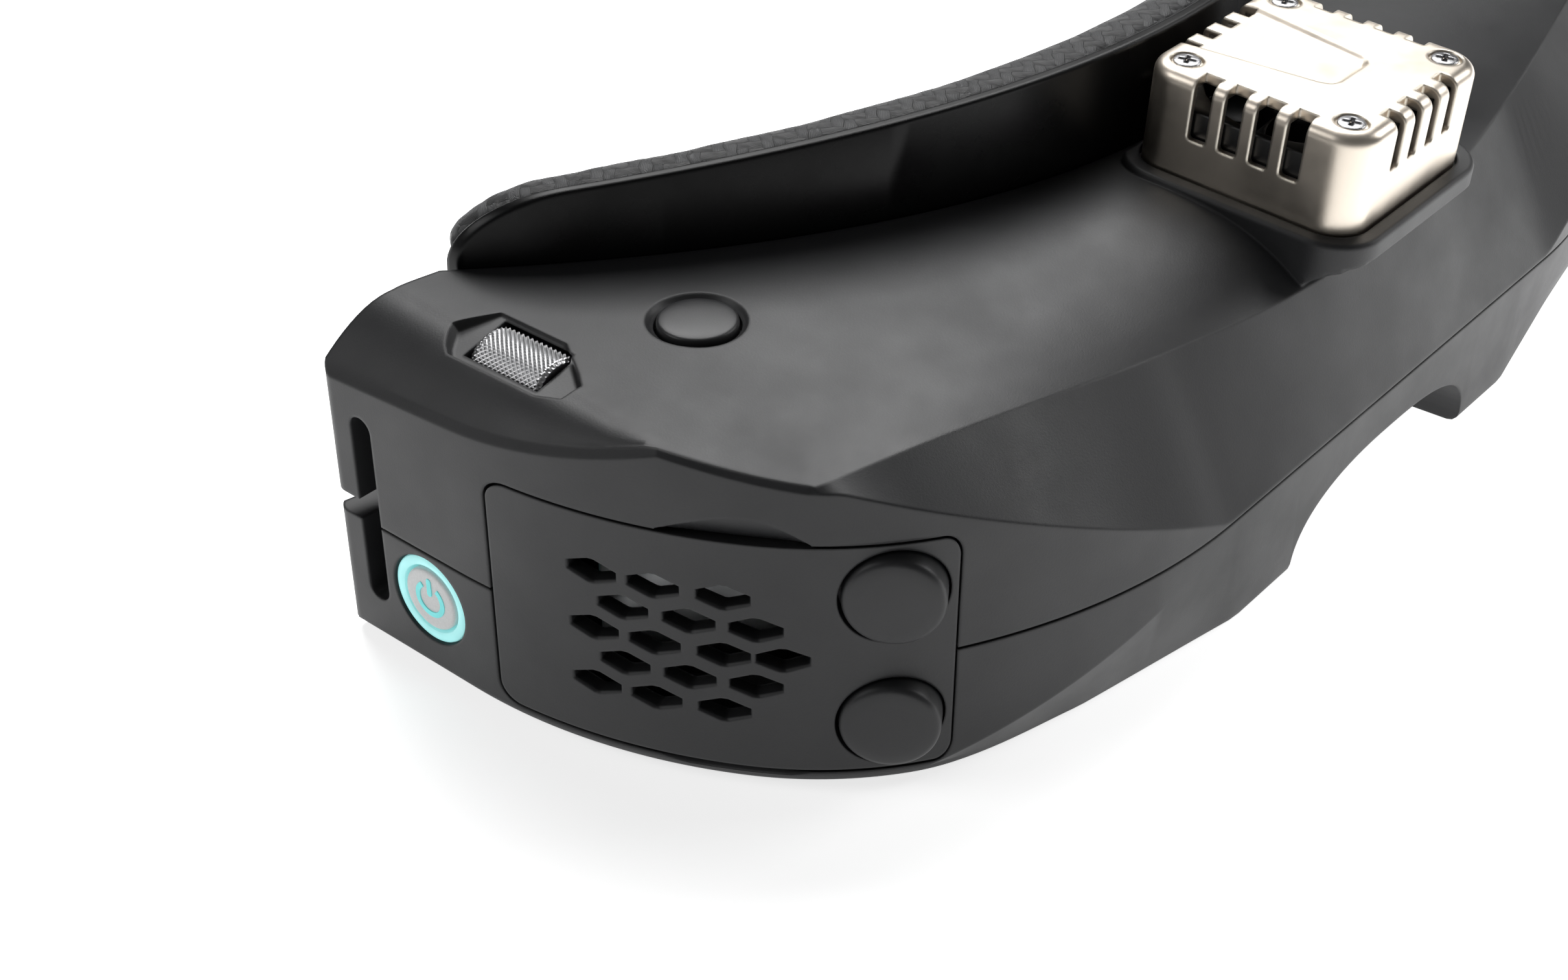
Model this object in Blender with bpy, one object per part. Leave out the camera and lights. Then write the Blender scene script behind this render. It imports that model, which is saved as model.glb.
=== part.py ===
"""FPV goggles: a two-shell visor with a face plate and pad, twin optics, a cooling fan and a receiver bay.

Design coordinates are in millimetres: x across the face, y from the front wall towards the face,
z up from the plane that the goggles rest on. Objects are made in metres, centred over the origin.
"""

import math

import bmesh
import bpy
from mathutils import Vector

MM = 0.001
GAP = 0.3  # clearance between pieces that touch
CUT_PAST = 1.0  # how far a cutter runs past the face it opens

# Housing
HALF_WIDTH = 92.6
WALL_ARCS = ((68.0, 30.0), (39.8, 60.0), (60.7, 90.0))  # radius, and the wall's turn where the arc ends
ARM_STRAIGHT = 18.6  # straight end of each side wall
SEAM_Z = 16.0  # parting plane
SHELL = 2.0
BARREL_RADIUS = 13.0
ROD_Z = SHELL + 2.7
OPTIC_Z = ROD_Z + BARREL_RADIUS + 1.8
DECK_Z = OPTIC_Z + BARREL_RADIUS + SHELL + 4.0  # top of the housing along the face plate
SEAM_LINE = 0.3
EDGE = 0.6  # break on the long edges

# Front facets
TIP_SETBACK = 12.1  # the upper facet ends this far inside the side wall
FACET_SLOPE = 0.45
BROW_Y = 4.8  # top front edge at the centre line
BROW_DEPTH = 13.8
BROW_LOW_Z = DECK_Z - 6.2
BROW_HIGH_Z = DECK_Z - 2.5
TIP_Y = 18.6
SIDE_RISE = 0.197  # climb of the deck edge behind the tip
CHIN_SLOPE = 0.36
CHIN_Z = 1.4  # height where the wall turns into the chin bevel
CHIN_SPREAD = 0.2
CHIN_START = 31.0
CHIN_END_SETBACK = 37.0

# Sloped top of each side pod
POD_EDGE_Z = DECK_Z - 5.3
POD_SLOPE = 0.682
POD_FALL = 0.066
POD_DATUM_Y = 62.0
POD_CREASE_Z = DECK_Z + 0.2

# Fan and its cover
FAN_Z = DECK_Z - 0.3
FAN_TILT = 2.9
COVER_SIZE = 27.0
FAN_Y = COVER_SIZE / 2 + 2.9
COVER_HEIGHT = 11.9
COVER_WALL = 0.8
COVER_CORNER = 4.0
COLLAR_WALL = 1.8
COLLAR_LIP = 0.4
COLLAR_BACK = COVER_SIZE / 2 + 0.7
COLLAR_SKIRT = 3.0
FAN_SIZE = COVER_SIZE - 2.2
FAN_HEIGHT = 8.0
FAN_BORE = FAN_SIZE / 2 - 0.9
FAN_HUB = 5.4
FAN_BLADES = 7
SCREW_X = FAN_SIZE / 2 - 2.3
SCREW_Y = FAN_SIZE / 2 - 2.5
SCREW_HEAD = 1.5
SCREW_SHANK = 0.7
SLOT_COUNT = 4
SLOT_PITCH = 3.75
SIDE_SLOT = 2.3
SIDE_SLOT_LOW = 4.9
FRONT_SLOT = 1.9
FRONT_SLOT_LOW = 6.0
SLOT_OVER = 2.3
RECESS_DEPTH = 0.4
RECESS_BACK_HALF = SCREW_X - 3.6
RECESS_FRONT_HALF = SCREW_X - 6.1
RECESS_LENGTH = COVER_SIZE - 9.5

# Face plate and pad
FACE_Y = FAN_Y + COLLAR_BACK + 0.4
FACE_RADIUS = 80.0
FACE_HALF = HALF_WIDTH - 14.1
PLATE = 1.6
PLATE_HALF = FACE_HALF - 1.5
RIM_Z = DECK_Z + 12.5
RIM_DROP = 5.8
RIM_CORNER_X = 9.0
RIM_CORNER_Z = 6.5
PAD = 7.0
PAD_INSET = 0.5
EYE_HALF = PLATE_HALF - 16.0
EYE_LOW_Z = SEAM_Z - 10.0
EYE_HIGH_Z = DECK_Z - 3.0
WINDOW_HALF = EYE_HALF - 3.0

# Nose arch
NOSE_FRONT_HALF = 20.0
NOSE_FRONT_RISE = 10.0
NOSE_BACK_HALF = 18.0
NOSE_BACK_RISE = 13.0
NOSE_PLATE_HALF = 17.0
NOSE_PLATE_RISE = 18.5
NOSE_POWER = 2.6

# Strap anchors
SLOT_Y = 65.6
SLOT_WIDTH = 3.0
SLOT_LOW_Z = SEAM_Z - 9.8
SLOT_HIGH_Z = SEAM_Z + 12.8
BAR_DEPTH = 5.0
BAR_GAP = 2.3
POCKET_WIDTH = 7.2

# Side bays
BAY_TURNS = (30.4, 86.0)  # wall turn at the bay's front and back ends
BAY_HALF_HEIGHT = 13.7
BAY_CORNER = 2.5
COVER = 1.8
SCOOP_TURNS = (51.0, 68.0)
SCOOP_DEPTH = 1.0
SCOOP_RISE = 2.6
AERIAL_TURN = 53.0  # direction the bay faces
AERIAL_AT_TURN = 39.8
AERIAL_HALF_PITCH = 7.5
CAP_RADIUS = 5.0
CAP_PROUD = 1.6
CAP_LENGTH = 5.5
CAP_BORE = 3.5
CAP_CROWN = 0.5
VENT_HALF_WIDTH = 2.55
VENT_HALF_HEIGHT = 1.3
VENT_SIDE = 0.4
VENT_PITCH = 3.4
VENT_TURNS = (74.4, 71.4, 68.4, 65.1, 61.9, 58.4, 54.7)
VENT_ROWS = (3, 2, 3, 2, 3, 2, 1)

# Jog wheel
DISH_IN = 9.1  # distance of the dish's middle from the side wall
DISH_Y = 52.7
DISH_DEPTH = 1.0  # below the deck at the dish's middle
DISH_TILT = 12.0
DISH_BACK = 8.9
DISH_FRONT = 9.5
DISH_INNER = 3.8
DISH_OUTER = 4.3
DISH_DRAFT = 0.8
WHEEL_RADIUS = 3.6
WHEEL_LENGTH = 9.4
WHEEL_TEETH = 24
WHEEL_DEPTH = WHEEL_RADIUS - 1.0  # of its axis below the dish's floor
WHEEL_BORE = 1.1
AXLE_RADIUS = 0.8
BRACKET_WALL = 1.0
BRACKET_WIDTH = 3.6
BRACKET_TOP = 1.5

# Buttons
MENU_X = HALF_WIDTH - 23.9
MENU_Y = 43.2
MENU_RADIUS = 4.1
MENU_DISH = 5.05
MENU_PRESS = 0.6
POWER_Y = 59.2
POWER_Z = SEAM_Z - 6.0
POWER_RING = 5.1
POWER_RADIUS = 3.6
POWER_PRESS = 0.6

# Optics
IPD_HALF = 32.0
IPD_TRAVEL = 3.5
BARREL_WALL = 1.3
BARREL_BACK_Y = FACE_Y + 1.2
BARREL_FRONT_Y = BARREL_BACK_Y - 18.2
LENS_EDGE = 2.0
LENS_CROWN = 1.4
ROD_Y = BARREL_FRONT_Y + 9.4
ROD_RADIUS = 1.0
LUG_HALF = 3.0
LUG_DEPTH = 5.0
KNOB_LENGTH = 6.0
KNOB_WIDTH = 4.4
KNOB_RECESS = 1.3

# Screws that close the housing
BOSS_RADIUS = 3.2
BOSSES = ((HALF_WIDTH - 39.1, 17.0), (HALF_WIDTH - 22.6, 54.0))
HOUSING_SCREW_HEAD = 2.3
HOUSING_SCREW_SHANK = 1.2
HOUSING_SCREW_TOP = SEAM_Z + 9.0
HEAD_HEIGHT = 1.4

WALL_STEP = 10.0  # turn between two sections of the shells
ROUND = 24
NEARLY_FLAT = math.radians(0.02)


def face_y(x):
    """Back of the housing, a parabola that follows the face."""
    return FACE_Y + x * x / (2 * FACE_RADIUS)


PAD_FRONT = GAP + PLATE + GAP
DEPTH = face_y(PLATE_HALF - PAD_INSET) + PAD_FRONT + PAD


def world(point):
    return Vector((point[0] * MM, (point[1] - DEPTH / 2) * MM, point[2] * MM))


# --- materials -------------------------------------------------------------------------------


def finish(name, color, roughness, metallic=0.0):
    material = bpy.data.materials.new(name)
    material.use_nodes = True
    shader = material.node_tree.nodes["Principled BSDF"]
    shader.inputs["Base Color"].default_value = (*color, 1.0)
    shader.inputs["Roughness"].default_value = roughness
    shader.inputs["Metallic"].default_value = metallic
    material.diffuse_color = (*color, 1.0)
    return material


SHELL_GREY = (0.045, 0.046, 0.048)
DARK = (0.012, 0.012, 0.013)
BRONZE = (0.48, 0.42, 0.36)
STEEL = (0.62, 0.62, 0.63)
SILVER = (0.45, 0.47, 0.48)
BRASS = (0.80, 0.60, 0.28)
CYAN = (0.22, 0.95, 0.92)
BOARD_GREEN = (0.02, 0.10, 0.05)
GLASS = (0.5, 0.55, 0.6)
SCREEN = (0.02, 0.02, 0.05)


# --- mesh building ---------------------------------------------------------------------------


def build(name, points, faces, color=None, roughness=0.5, metallic=0.0, pivot=None):
    """One object from design points, with its origin at the pivot. Without a colour it is a cutter."""
    origin = world(pivot) if pivot else Vector((0, 0, 0))
    mesh = bpy.data.meshes.new(name)
    mesh.from_pydata([world(point) - origin for point in points], [], faces)
    edit = bmesh.new()
    edit.from_mesh(mesh)
    bmesh.ops.connect_verts_nonplanar(edit, angle_limit=NEARLY_FLAT, faces=edit.faces)
    bmesh.ops.recalc_face_normals(edit, faces=edit.faces)
    edit.to_mesh(mesh)
    edit.free()
    obj = bpy.data.objects.new(name, mesh)
    obj.location = origin
    bpy.context.scene.collection.objects.link(obj)
    if color is None:
        obj.hide_render = True
        obj.display_type = "WIRE"
    else:
        mesh.materials.append(finish(name, color, roughness, metallic))
        mesh.shade_smooth()
        mesh.set_sharp_from_angle(angle=math.radians(35))
    return obj


def loft(rings):
    """Points and faces of a solid through rings of equal count, closed by its end rings."""
    count = len(rings[0])
    points = [point for ring in rings for point in ring]
    faces = [list(range(count)), list(range(len(points) - count, len(points)))]
    for start in range(0, len(points) - count, count):
        for i in range(count):
            j = (i + 1) % count
            faces.append([start + i, start + j, start + count + j, start + count + i])
    return points, faces


def prism(outline, low, high, frame):
    """A straight solid: frame(a, b, c) places outline point (a, b) at depth c."""
    return loft([[frame(a, b, c) for a, b in outline] for c in (low, high)])


def along_y(x, z, y):
    return (x, y, z)


def along_z(x, y, z):
    return (x, y, z)


def box(x, y, z):
    """A box from three (low, high) spans."""
    outline = [(x[0], y[0]), (x[1], y[0]), (x[1], y[1]), (x[0], y[1])]
    return prism(outline, z[0], z[1], along_z)


def around(center, size):
    return (center - size / 2, center + size / 2)


def rounded(half_x, half_y, radius, steps=4):
    """Outline of a rectangle with round corners."""
    outline = []
    for turn, (sx, sy) in enumerate(((1, 1), (-1, 1), (-1, -1), (1, -1))):
        for i in range(steps + 1):
            angle = math.radians(90 * (turn + i / steps))
            corner_x = sx * (half_x - radius) + radius * math.cos(angle)
            corner_y = sy * (half_y - radius) + radius * math.sin(angle)
            outline.append((corner_x, corner_y))
    return outline


def turned(profile, frame, count=ROUND):
    """A solid of revolution. The profile runs over (radius, depth) from axis to axis, or closes as a ring."""
    points = []
    rows = []
    for radius, depth in profile:
        if radius == 0:
            rows.append([len(points)] * count)
            points.append(frame(0, 0, depth))
            continue
        rows.append(list(range(len(points), len(points) + count)))
        for i in range(count):
            angle = 2 * math.pi * i / count
            points.append(frame(radius * math.cos(angle), radius * math.sin(angle), depth))
    faces = []
    pairs = list(zip(rows, rows[1:]))
    if profile[0][0] and profile[-1][0]:
        pairs.append((rows[-1], rows[0]))
    for one, two in pairs:
        for i in range(count):
            j = (i + 1) % count
            face = [one[i], one[j], two[j], two[i]]
            kept = [index for k, index in enumerate(face) if index not in face[:k]]
            if len(kept) > 2:
                faces.append(kept)
    return points, faces


def disc(radius, low, high, frame, count=ROUND):
    return turned([(0, low), (radius, low), (radius, high), (0, high)], frame, count)


def at(center, axis="z"):
    """A frame for turned solids: round about the named axis through the centre."""
    def frame(a, b, c):
        if axis == "x":
            return (center[0] + c, center[1] + a, center[2] + b)
        if axis == "y":
            return (center[0] + a, center[1] + c, center[2] + b)
        return (center[0] + a, center[1] + b, center[2] + c)
    return frame


def joined(shapes):
    """Several shapes that don't touch, as one cutter."""
    points, faces = [], []
    for more_points, more_faces in shapes:
        start = len(points)
        points = points + list(more_points)
        faces = faces + [[start + i for i in face] for face in more_faces]
    return points, faces


def boolean(target, operation, shape, label, solver="EXACT"):
    """Cut or add one shape, given as (points, faces)."""
    cutter = build(f"{label}_{target.name}", *shape)
    modifier = target.modifiers.new(label, "BOOLEAN")
    modifier.operation = operation
    modifier.solver = solver
    modifier.object = cutter


def cut(target, label, *shapes):
    for i, shape in enumerate(shapes):
        boolean(target, "DIFFERENCE", shape, f"cut_{label}_{i}")


def add(target, label, *shapes):
    for i, shape in enumerate(shapes):
        boolean(target, "UNION", shape, f"add_{label}_{i}")


def mirrored(shape, side):
    points, faces = shape
    return [(side * x, y, z) for x, y, z in points], faces


# --- the housing's surfaces ------------------------------------------------------------------


def corner_reach():
    """How far the wall's arcs reach outwards and back."""
    reach_x = reach_y = 0.0
    start = 0.0
    for radius, end in WALL_ARCS:
        one, two = math.radians(start), math.radians(end)
        reach_x += radius * (math.sin(two) - math.sin(one))
        reach_y += radius * (math.cos(one) - math.cos(two))
        start = end
    return reach_x, reach_y


CORNER_X, CORNER_Y = corner_reach()
FRONT_FLAT = HALF_WIDTH - CORNER_X
TIP_X = HALF_WIDTH - TIP_SETBACK
ARM_BACK = CORNER_Y + ARM_STRAIGHT


def wall_point(turn, inset=0.0):
    """Plan point of the side wall where its tangent has turned by this many degrees from straight across."""
    x, y = FRONT_FLAT, inset
    start = 0.0
    for radius, end in WALL_ARCS:
        stop = min(turn, end)
        if stop > start:
            one, two = math.radians(start), math.radians(stop)
            x += (radius - inset) * (math.sin(two) - math.sin(one))
            y += (radius - inset) * (math.cos(one) - math.cos(two))
        start = end
    return x, y


def wall_length(turn):
    length = FRONT_FLAT
    start = 0.0
    for radius, end in WALL_ARCS:
        length += radius * math.radians(max(0.0, min(turn, end) - start))
        start = end
    return length


def wall_stations(step, flats, straights):
    """(kind, value) along one half of the wall: x on the flat front, turn on the arcs, y on the straight."""
    stations = [("flat", FRONT_FLAT * i / flats) for i in range(flats)]
    turns = round(90 / step)
    stations += [("arc", 90 * i / turns) for i in range(turns + 1)]
    stations += [("straight", ARM_STRAIGHT * (i + 1) / straights) for i in range(straights)]
    return stations


def plan(station, inset):
    """Plan point at a station, and its share of the wall's length."""
    kind, value = station
    whole = wall_length(90) + ARM_STRAIGHT
    if kind == "flat":
        return value, inset, value / whole
    if kind == "arc":
        return *wall_point(value, inset), wall_length(value) / whole
    return HALF_WIDTH - inset, CORNER_Y + value, (whole - ARM_STRAIGHT + value) / whole


def smooth(low, high, value):
    t = min(1.0, max(0.0, (value - low) / (high - low)))
    return t * t * (3 - 2 * t)


def pod_z(x, y):
    return POD_EDGE_Z + POD_SLOPE * (HALF_WIDTH - x) - POD_FALL * (y - POD_DATUM_Y)


def side_z(x, y):
    """Height of the wall's top edge behind the facet's tip."""
    return min(BROW_HIGH_Z + SIDE_RISE * (y - TIP_Y), pod_z(x, y))


def brow(x):
    """The top front edge over a plan point of the wall."""
    share = min(1.0, x / TIP_X)
    y = BROW_Y + BROW_DEPTH * share ** 1.5
    z = BROW_LOW_Z + (BROW_HIGH_Z - BROW_LOW_Z) * smooth(TIP_X - 65, TIP_X - 5, x)
    return y, z


def deck_power(x):
    """The deck stays level further forward at the centre line than at the pods."""
    return 2.0 + 1.5 * (1 - smooth(12, 45, x))


def upper_ring(station, inset, low_z, back):
    """One section of the upper shell, from the seam over the deck to the back."""
    x, y, share = plan(station, inset)
    outer_x, outer_y, _ = plan(station, 0.0)
    back_x = FACE_HALF * share
    if outer_x < TIP_X and outer_y < TIP_Y:
        edge_y, edge_z = brow(outer_x)
        crease_z = SEAM_Z + max(SEAM_LINE, FACET_SLOPE * (outer_x - FRONT_FLAT))
        edge = (x, max(edge_y + inset, y + EDGE), edge_z - inset)
        crease = (x, y, min(crease_z, edge[2] - EDGE))
    else:
        top = side_z(outer_x, outer_y) - inset
        toward = Vector((back_x - x, face_y(back_x) - y)).normalized() * EDGE
        edge = (x + toward.x, y + toward.y, top)
        crease = (x, y, top - EDGE)
    end = (back_x, face_y(back_x) + back(back_x), DECK_Z - inset)
    pod_end = pod_z(end[0], end[1]) - inset
    crease_share = 0.04
    pod_edge = pod_z(edge[0], edge[1]) - inset
    if pod_edge < POD_CREASE_Z - inset:
        crease_share = max(0.04, (POD_CREASE_Z - inset - edge[2]) / (pod_end - edge[2]))
    climb = edge[2] + crease_share * (pod_end - edge[2])
    ridge_z = max(edge[2] + 0.02, min(POD_CREASE_Z - inset, climb))
    power = deck_power(outer_x)
    if pod_edge >= POD_CREASE_Z - inset:
        ridge_z = edge[2] + (end[2] - edge[2]) * (1 - (1 - crease_share) ** power)
    ring = [(x, y, low_z), crease, edge]
    for t in (0.0, 0.2, 0.42, 0.68, 1.0):
        way = crease_share + (1 - crease_share) * t
        z = ridge_z + (end[2] - ridge_z) * (1 - (1 - t) ** power)
        ring.append((edge[0] + (end[0] - edge[0]) * way, edge[1] + (end[1] - edge[1]) * way, z))
    ring.append((end[0], end[1], low_z))
    return ring


def lower_ring(station, inset, high_z, back):
    """One section of the lower shell, from the seam under the chin to the back."""
    x, y, share = plan(station, inset)
    outer_x, outer_y, _ = plan(station, 0.0)
    back_x = FACE_HALF * share
    chin_end = HALF_WIDTH - CHIN_END_SETBACK
    setback = 0.5 + CHIN_SPREAD * max(0.0, outer_x - CHIN_START) - outer_y
    if outer_x > chin_end:
        full = 0.5 + CHIN_SPREAD * (chin_end - CHIN_START) - wall_y_at(chin_end)
        setback = full + (EDGE - full) * smooth(chin_end, chin_end + 18, outer_x)
    setback = max(EDGE, setback)
    turn_z = SEAM_Z - max(SEAM_LINE * 2, CHIN_SLOPE * (outer_x - FRONT_FLAT + 3))
    turn_z = max(turn_z, CHIN_Z + inset + 0.4)
    end = (back_x, face_y(back_x) + back(back_x))
    toward = Vector((end[0] - x, end[1] - y)).normalized()
    chin = (x + toward.x * setback, y + toward.y * setback, CHIN_Z + inset)
    foot = (chin[0] + toward.x * CHIN_Z, chin[1] + toward.y * CHIN_Z, inset)
    wall = [(x, y, high_z), (x, y, turn_z)]
    return wall + [chin, foot, (end[0], end[1], inset), (end[0], end[1], high_z)]


def wall_y_at(x):
    """Plan y of the wall at this x, on its first arc."""
    radius = WALL_ARCS[0][0]
    reach = max(0.0, x - FRONT_FLAT)
    return radius - math.sqrt(radius * radius - reach * reach)


def shell_solid(ring, inset, seam_z, back, stations):
    """A solid across the whole visor, from one arm's end to the other's."""
    half = [ring(station, inset, seam_z, back) for station in stations]
    other = [[(-x, y, z) for x, y, z in section] for section in reversed(half[1:])]
    return loft(other + half)


def cavity_stations(stations):
    """The hollow stops short of the strap anchors."""
    return [s for s in stations if s[0] != "straight"] + [("straight", SLOT_Y - SHELL - CORNER_Y)]


def flush(_):
    return 0.0


def cavity_back(x):
    """The cavity opens through the back over the eyes, and stays shut behind the arms."""
    return SHELL * 1.5 if x < WINDOW_HALF else -SHELL


def wall_band(turns, z_span, inset, outset, shares):
    """A curved slab along the side wall, from inset inside it to outset outside it."""
    rings = []
    for share in shares:
        turn = turns[0] + (turns[1] - turns[0]) * share
        inner, outer = wall_point(turn, inset), wall_point(turn, -outset)
        low, high = z_span(share)
        rings.append([(*inner, low), (*outer, low), (*outer, high), (*inner, high)])
    return loft(rings)


def panel_band(gap, inset, outset):
    """The bay's outline with round corners, this much smaller all round."""
    length = wall_length(BAY_TURNS[1]) - wall_length(BAY_TURNS[0])
    trim = gap / length
    corner = BAY_CORNER - gap
    ends = [corner * (1 - math.cos(math.radians(30 * i))) / length for i in range(4)]
    middle = [i / 9 for i in range(1, 9)]
    shares = [trim + e for e in ends] + middle + [1 - trim - e for e in reversed(ends)]

    def span(share):
        to_end = (min(share, 1 - share) - trim) * length
        reach = min(corner, max(0.0, corner - to_end))
        half = BAY_HALF_HEIGHT - gap - corner + math.sqrt(corner * corner - reach * reach)
        return SEAM_Z - half, SEAM_Z + half
    return wall_band(BAY_TURNS, span, inset, outset, shares)


SCOOP_SHARES = [i / 6 for i in range(7)]


def nose_arch(half, rise, y, frame=along_y, steps=14, grow=0.0):
    """Section of the nose arch, a superellipse standing on the rest plane."""
    outline = []
    for i in range(steps + 1):
        angle = math.pi * i / steps
        c, s = math.cos(angle), math.sin(angle)
        x = math.copysign(abs(c) ** (2 / NOSE_POWER), c) * (half + grow)
        z = abs(s) ** (2 / NOSE_POWER) * (rise + grow)
        outline.append(frame(x, z, y))
    outline.append(frame(-half - grow, -CUT_PAST, y))
    outline.append(frame(half + grow, -CUT_PAST, y))
    return outline


def nose_tunnel(grow=0.0):
    """The hollow under the nose bridge, running back through the lower shell."""
    front = nose_arch(NOSE_FRONT_HALF, NOSE_FRONT_RISE, -CUT_PAST, grow=grow)
    back = nose_arch(NOSE_BACK_HALF, NOSE_BACK_RISE, FACE_Y + 8, grow=grow)
    return loft([front, back])


# --- frames of the side bays, the fan and the wheel --------------------------------------------

BAY_TURN = math.radians(AERIAL_TURN)
BAY_OUT = Vector((math.sin(BAY_TURN), -math.cos(BAY_TURN)))
BAY_ALONG = Vector((math.cos(BAY_TURN), math.sin(BAY_TURN)))


def bay(side, along=0.0, z=SEAM_Z):
    """Frame whose third axis points out of the bay: x across the bay, y up, z outwards."""
    base = Vector(wall_point(AERIAL_AT_TURN)) + BAY_ALONG * along

    def frame(a, b, c):
        point = base + BAY_ALONG * a + BAY_OUT * c
        return (side * point.x, point.y, z + b)
    return frame


def bay_wall_depth(along):
    """Depth of the outer wall along the bay's outward axis, at a place across the bay."""
    base = Vector(wall_point(AERIAL_AT_TURN))
    low, high = BAY_TURNS
    for _ in range(30):
        middle = (low + high) / 2
        if (Vector(wall_point(middle)) - base).dot(BAY_ALONG) < along:
            low = middle
        else:
            high = middle
    return (Vector(wall_point(low)) - base).dot(BAY_OUT)


def fan(a, b, c):
    """The fan's own frame: it leans forward a little over the deck."""
    tilt = math.radians(FAN_TILT)
    y = FAN_Y + b * math.cos(tilt) - c * math.sin(tilt)
    return (a, y, FAN_Z + b * math.sin(tilt) + c * math.cos(tilt))


DISH_TURN = math.radians(DISH_TILT)
DISH_NORMAL = Vector((math.sin(DISH_TURN), 0.0, math.cos(DISH_TURN)))
DISH_DOWN = Vector((math.cos(DISH_TURN), 0.0, -math.sin(DISH_TURN)))
DISH_MIDDLE = Vector((HALF_WIDTH - DISH_IN, DISH_Y, DECK_Z - DISH_DEPTH))
JOG_DEPTH = DISH_MIDDLE - DISH_NORMAL * WHEEL_DEPTH
JOG_CENTER = (-JOG_DEPTH.x, JOG_DEPTH.y, JOG_DEPTH.z)


def dish(a, b, c):
    """Frame on the floor of the wheel's dish, on the wearer's right: along the arm, down the slope, out."""
    point = DISH_MIDDLE + DISH_DOWN * b + DISH_NORMAL * c
    return (-point.x, point.y + a, point.z)


# --- housings --------------------------------------------------------------------------------


def arm_cuts(side, z):
    """Strap slot, the pocket behind it and the gap in its bar, between two heights."""
    bar_x = HALF_WIDTH - BAR_DEPTH
    low, high = max(z[0], SLOT_LOW_Z), min(z[1], SLOT_HIGH_Z)
    pocket = box((bar_x - POCKET_WIDTH, bar_x), (SLOT_Y, ARM_BACK + 2), (low, high))
    slot = box((bar_x - CUT_PAST, HALF_WIDTH + 2), (SLOT_Y, SLOT_Y + SLOT_WIDTH), (low, high))
    return mirrored(pocket, side), mirrored(slot, side)


def scoop_high(t):
    return SEAM_Z + BAY_HALF_HEIGHT - 1, SEAM_Z + BAY_HALF_HEIGHT + 0.1 + SCOOP_RISE * math.sin(math.pi * t)


def upper_housing():
    stations = wall_stations(WALL_STEP, 3, 2)
    seam = SEAM_Z + SEAM_LINE / 2
    shape = shell_solid(upper_ring, 0.0, seam, flush, stations)
    shell = build("upper_housing", *shape, SHELL_GREY, 0.48)
    inner = cavity_stations(stations)
    cut(shell, "cavity", shell_solid(upper_ring, SHELL, seam - CUT_PAST, cavity_back, inner))
    add(shell, "collar", fan_collar())
    seat = rounded(COVER_SIZE / 2 + GAP, COVER_SIZE / 2 + GAP, COVER_CORNER + GAP)
    cut(shell, "seat", prism(seat, -2 * GAP, COLLAR_LIP + CUT_PAST, fan))
    cut(shell, "duct", disc(FAN_BORE, -COLLAR_SKIRT - 9, CUT_PAST, fan))
    for sx in (-1, 1):
        for sy in (-1, 1):
            frame = fan_screw_frame(sx, sy)
            cut(shell, f"pilot_{sx}_{sy}", disc(SCREW_SHANK + GAP, -2.6, CUT_PAST, frame, 12))
    for side in (-1, 1):
        cut(shell, f"bay_{side}", mirrored(bay_window(), side))
        scoop = wall_band(SCOOP_TURNS, scoop_high, SCOOP_DEPTH, 2, SCOOP_SHARES)
        cut(shell, f"scoop_{side}", mirrored(scoop, side))
        pocket, slot = arm_cuts(side, (SEAM_Z - 3, DECK_Z))
        cut(shell, f"strap_{side}", pocket, slot)
        gap_x = HALF_WIDTH - BAR_DEPTH - CUT_PAST
        gap = box((gap_x, HALF_WIDTH + 2), (SLOT_Y + 1, ARM_BACK + 2), (SEAM_Z - 1, SEAM_Z + BAR_GAP))
        cut(shell, f"bar_{side}", mirrored(gap, side))
        for i, (x, y) in enumerate(BOSSES):
            roof = deck_height(x, y) - SHELL / 2
            post = disc(BOSS_RADIUS, seam, roof, at((side * x, y, 0)), 16)
            add(shell, f"boss_{side}_{i}", post)
            pilot = (HOUSING_SCREW_SHANK + GAP, seam - 1, HOUSING_SCREW_TOP + 1)
            cut(shell, f"boss_{side}_{i}", disc(*pilot, at((side * x, y, 0)), 12))
    floor = [dish(a, b, 0.0) for a, b in dish_outline(-DISH_DRAFT)]
    mouth = [dish(a, b, 3.0) for a, b in dish_outline(DISH_DRAFT)]
    cut(shell, "dish", loft([floor, mouth]))
    x, y, z = JOG_CENTER
    half = WHEEL_LENGTH / 2 + GAP
    cut(shell, "wheel", disc(WHEEL_RADIUS + GAP, -half, half, at(JOG_CENTER, "y")))
    half += BRACKET_WALL + GAP
    span_z = (z - WHEEL_RADIUS, z + BRACKET_TOP + GAP)
    cut(shell, "encoder", box(around(x, BRACKET_WIDTH + 2 * GAP), (y - half, y + half), span_z))
    top = deck_height(MENU_X, MENU_Y)
    menu = at((-MENU_X, MENU_Y, top))
    bowl = turned([(0, 1.0), (MENU_DISH + 0.6, 1.0), (MENU_DISH - 0.6, -0.7), (0, -0.7)], menu)
    cut(shell, "menu", bowl, disc(MENU_RADIUS + GAP, -5, 2, menu))
    return shell


def dish_outline(grow):
    """The dish, an uneven octagon: cut back far at the corners beside the deck."""
    back, front = DISH_BACK + grow, DISH_FRONT + grow
    inner, outer = DISH_INNER + grow / 2, DISH_OUTER + grow / 2
    outline = [(back, 0.7), (back - 1.5, outer - 0.9), (back - 2.5, outer), (3.0 - front, outer)]
    return outline + [(0.4 - front, outer - 0.9), (-front, 0.9), (5.8 - front, -inner), (back - 2.1, -inner)]


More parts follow.
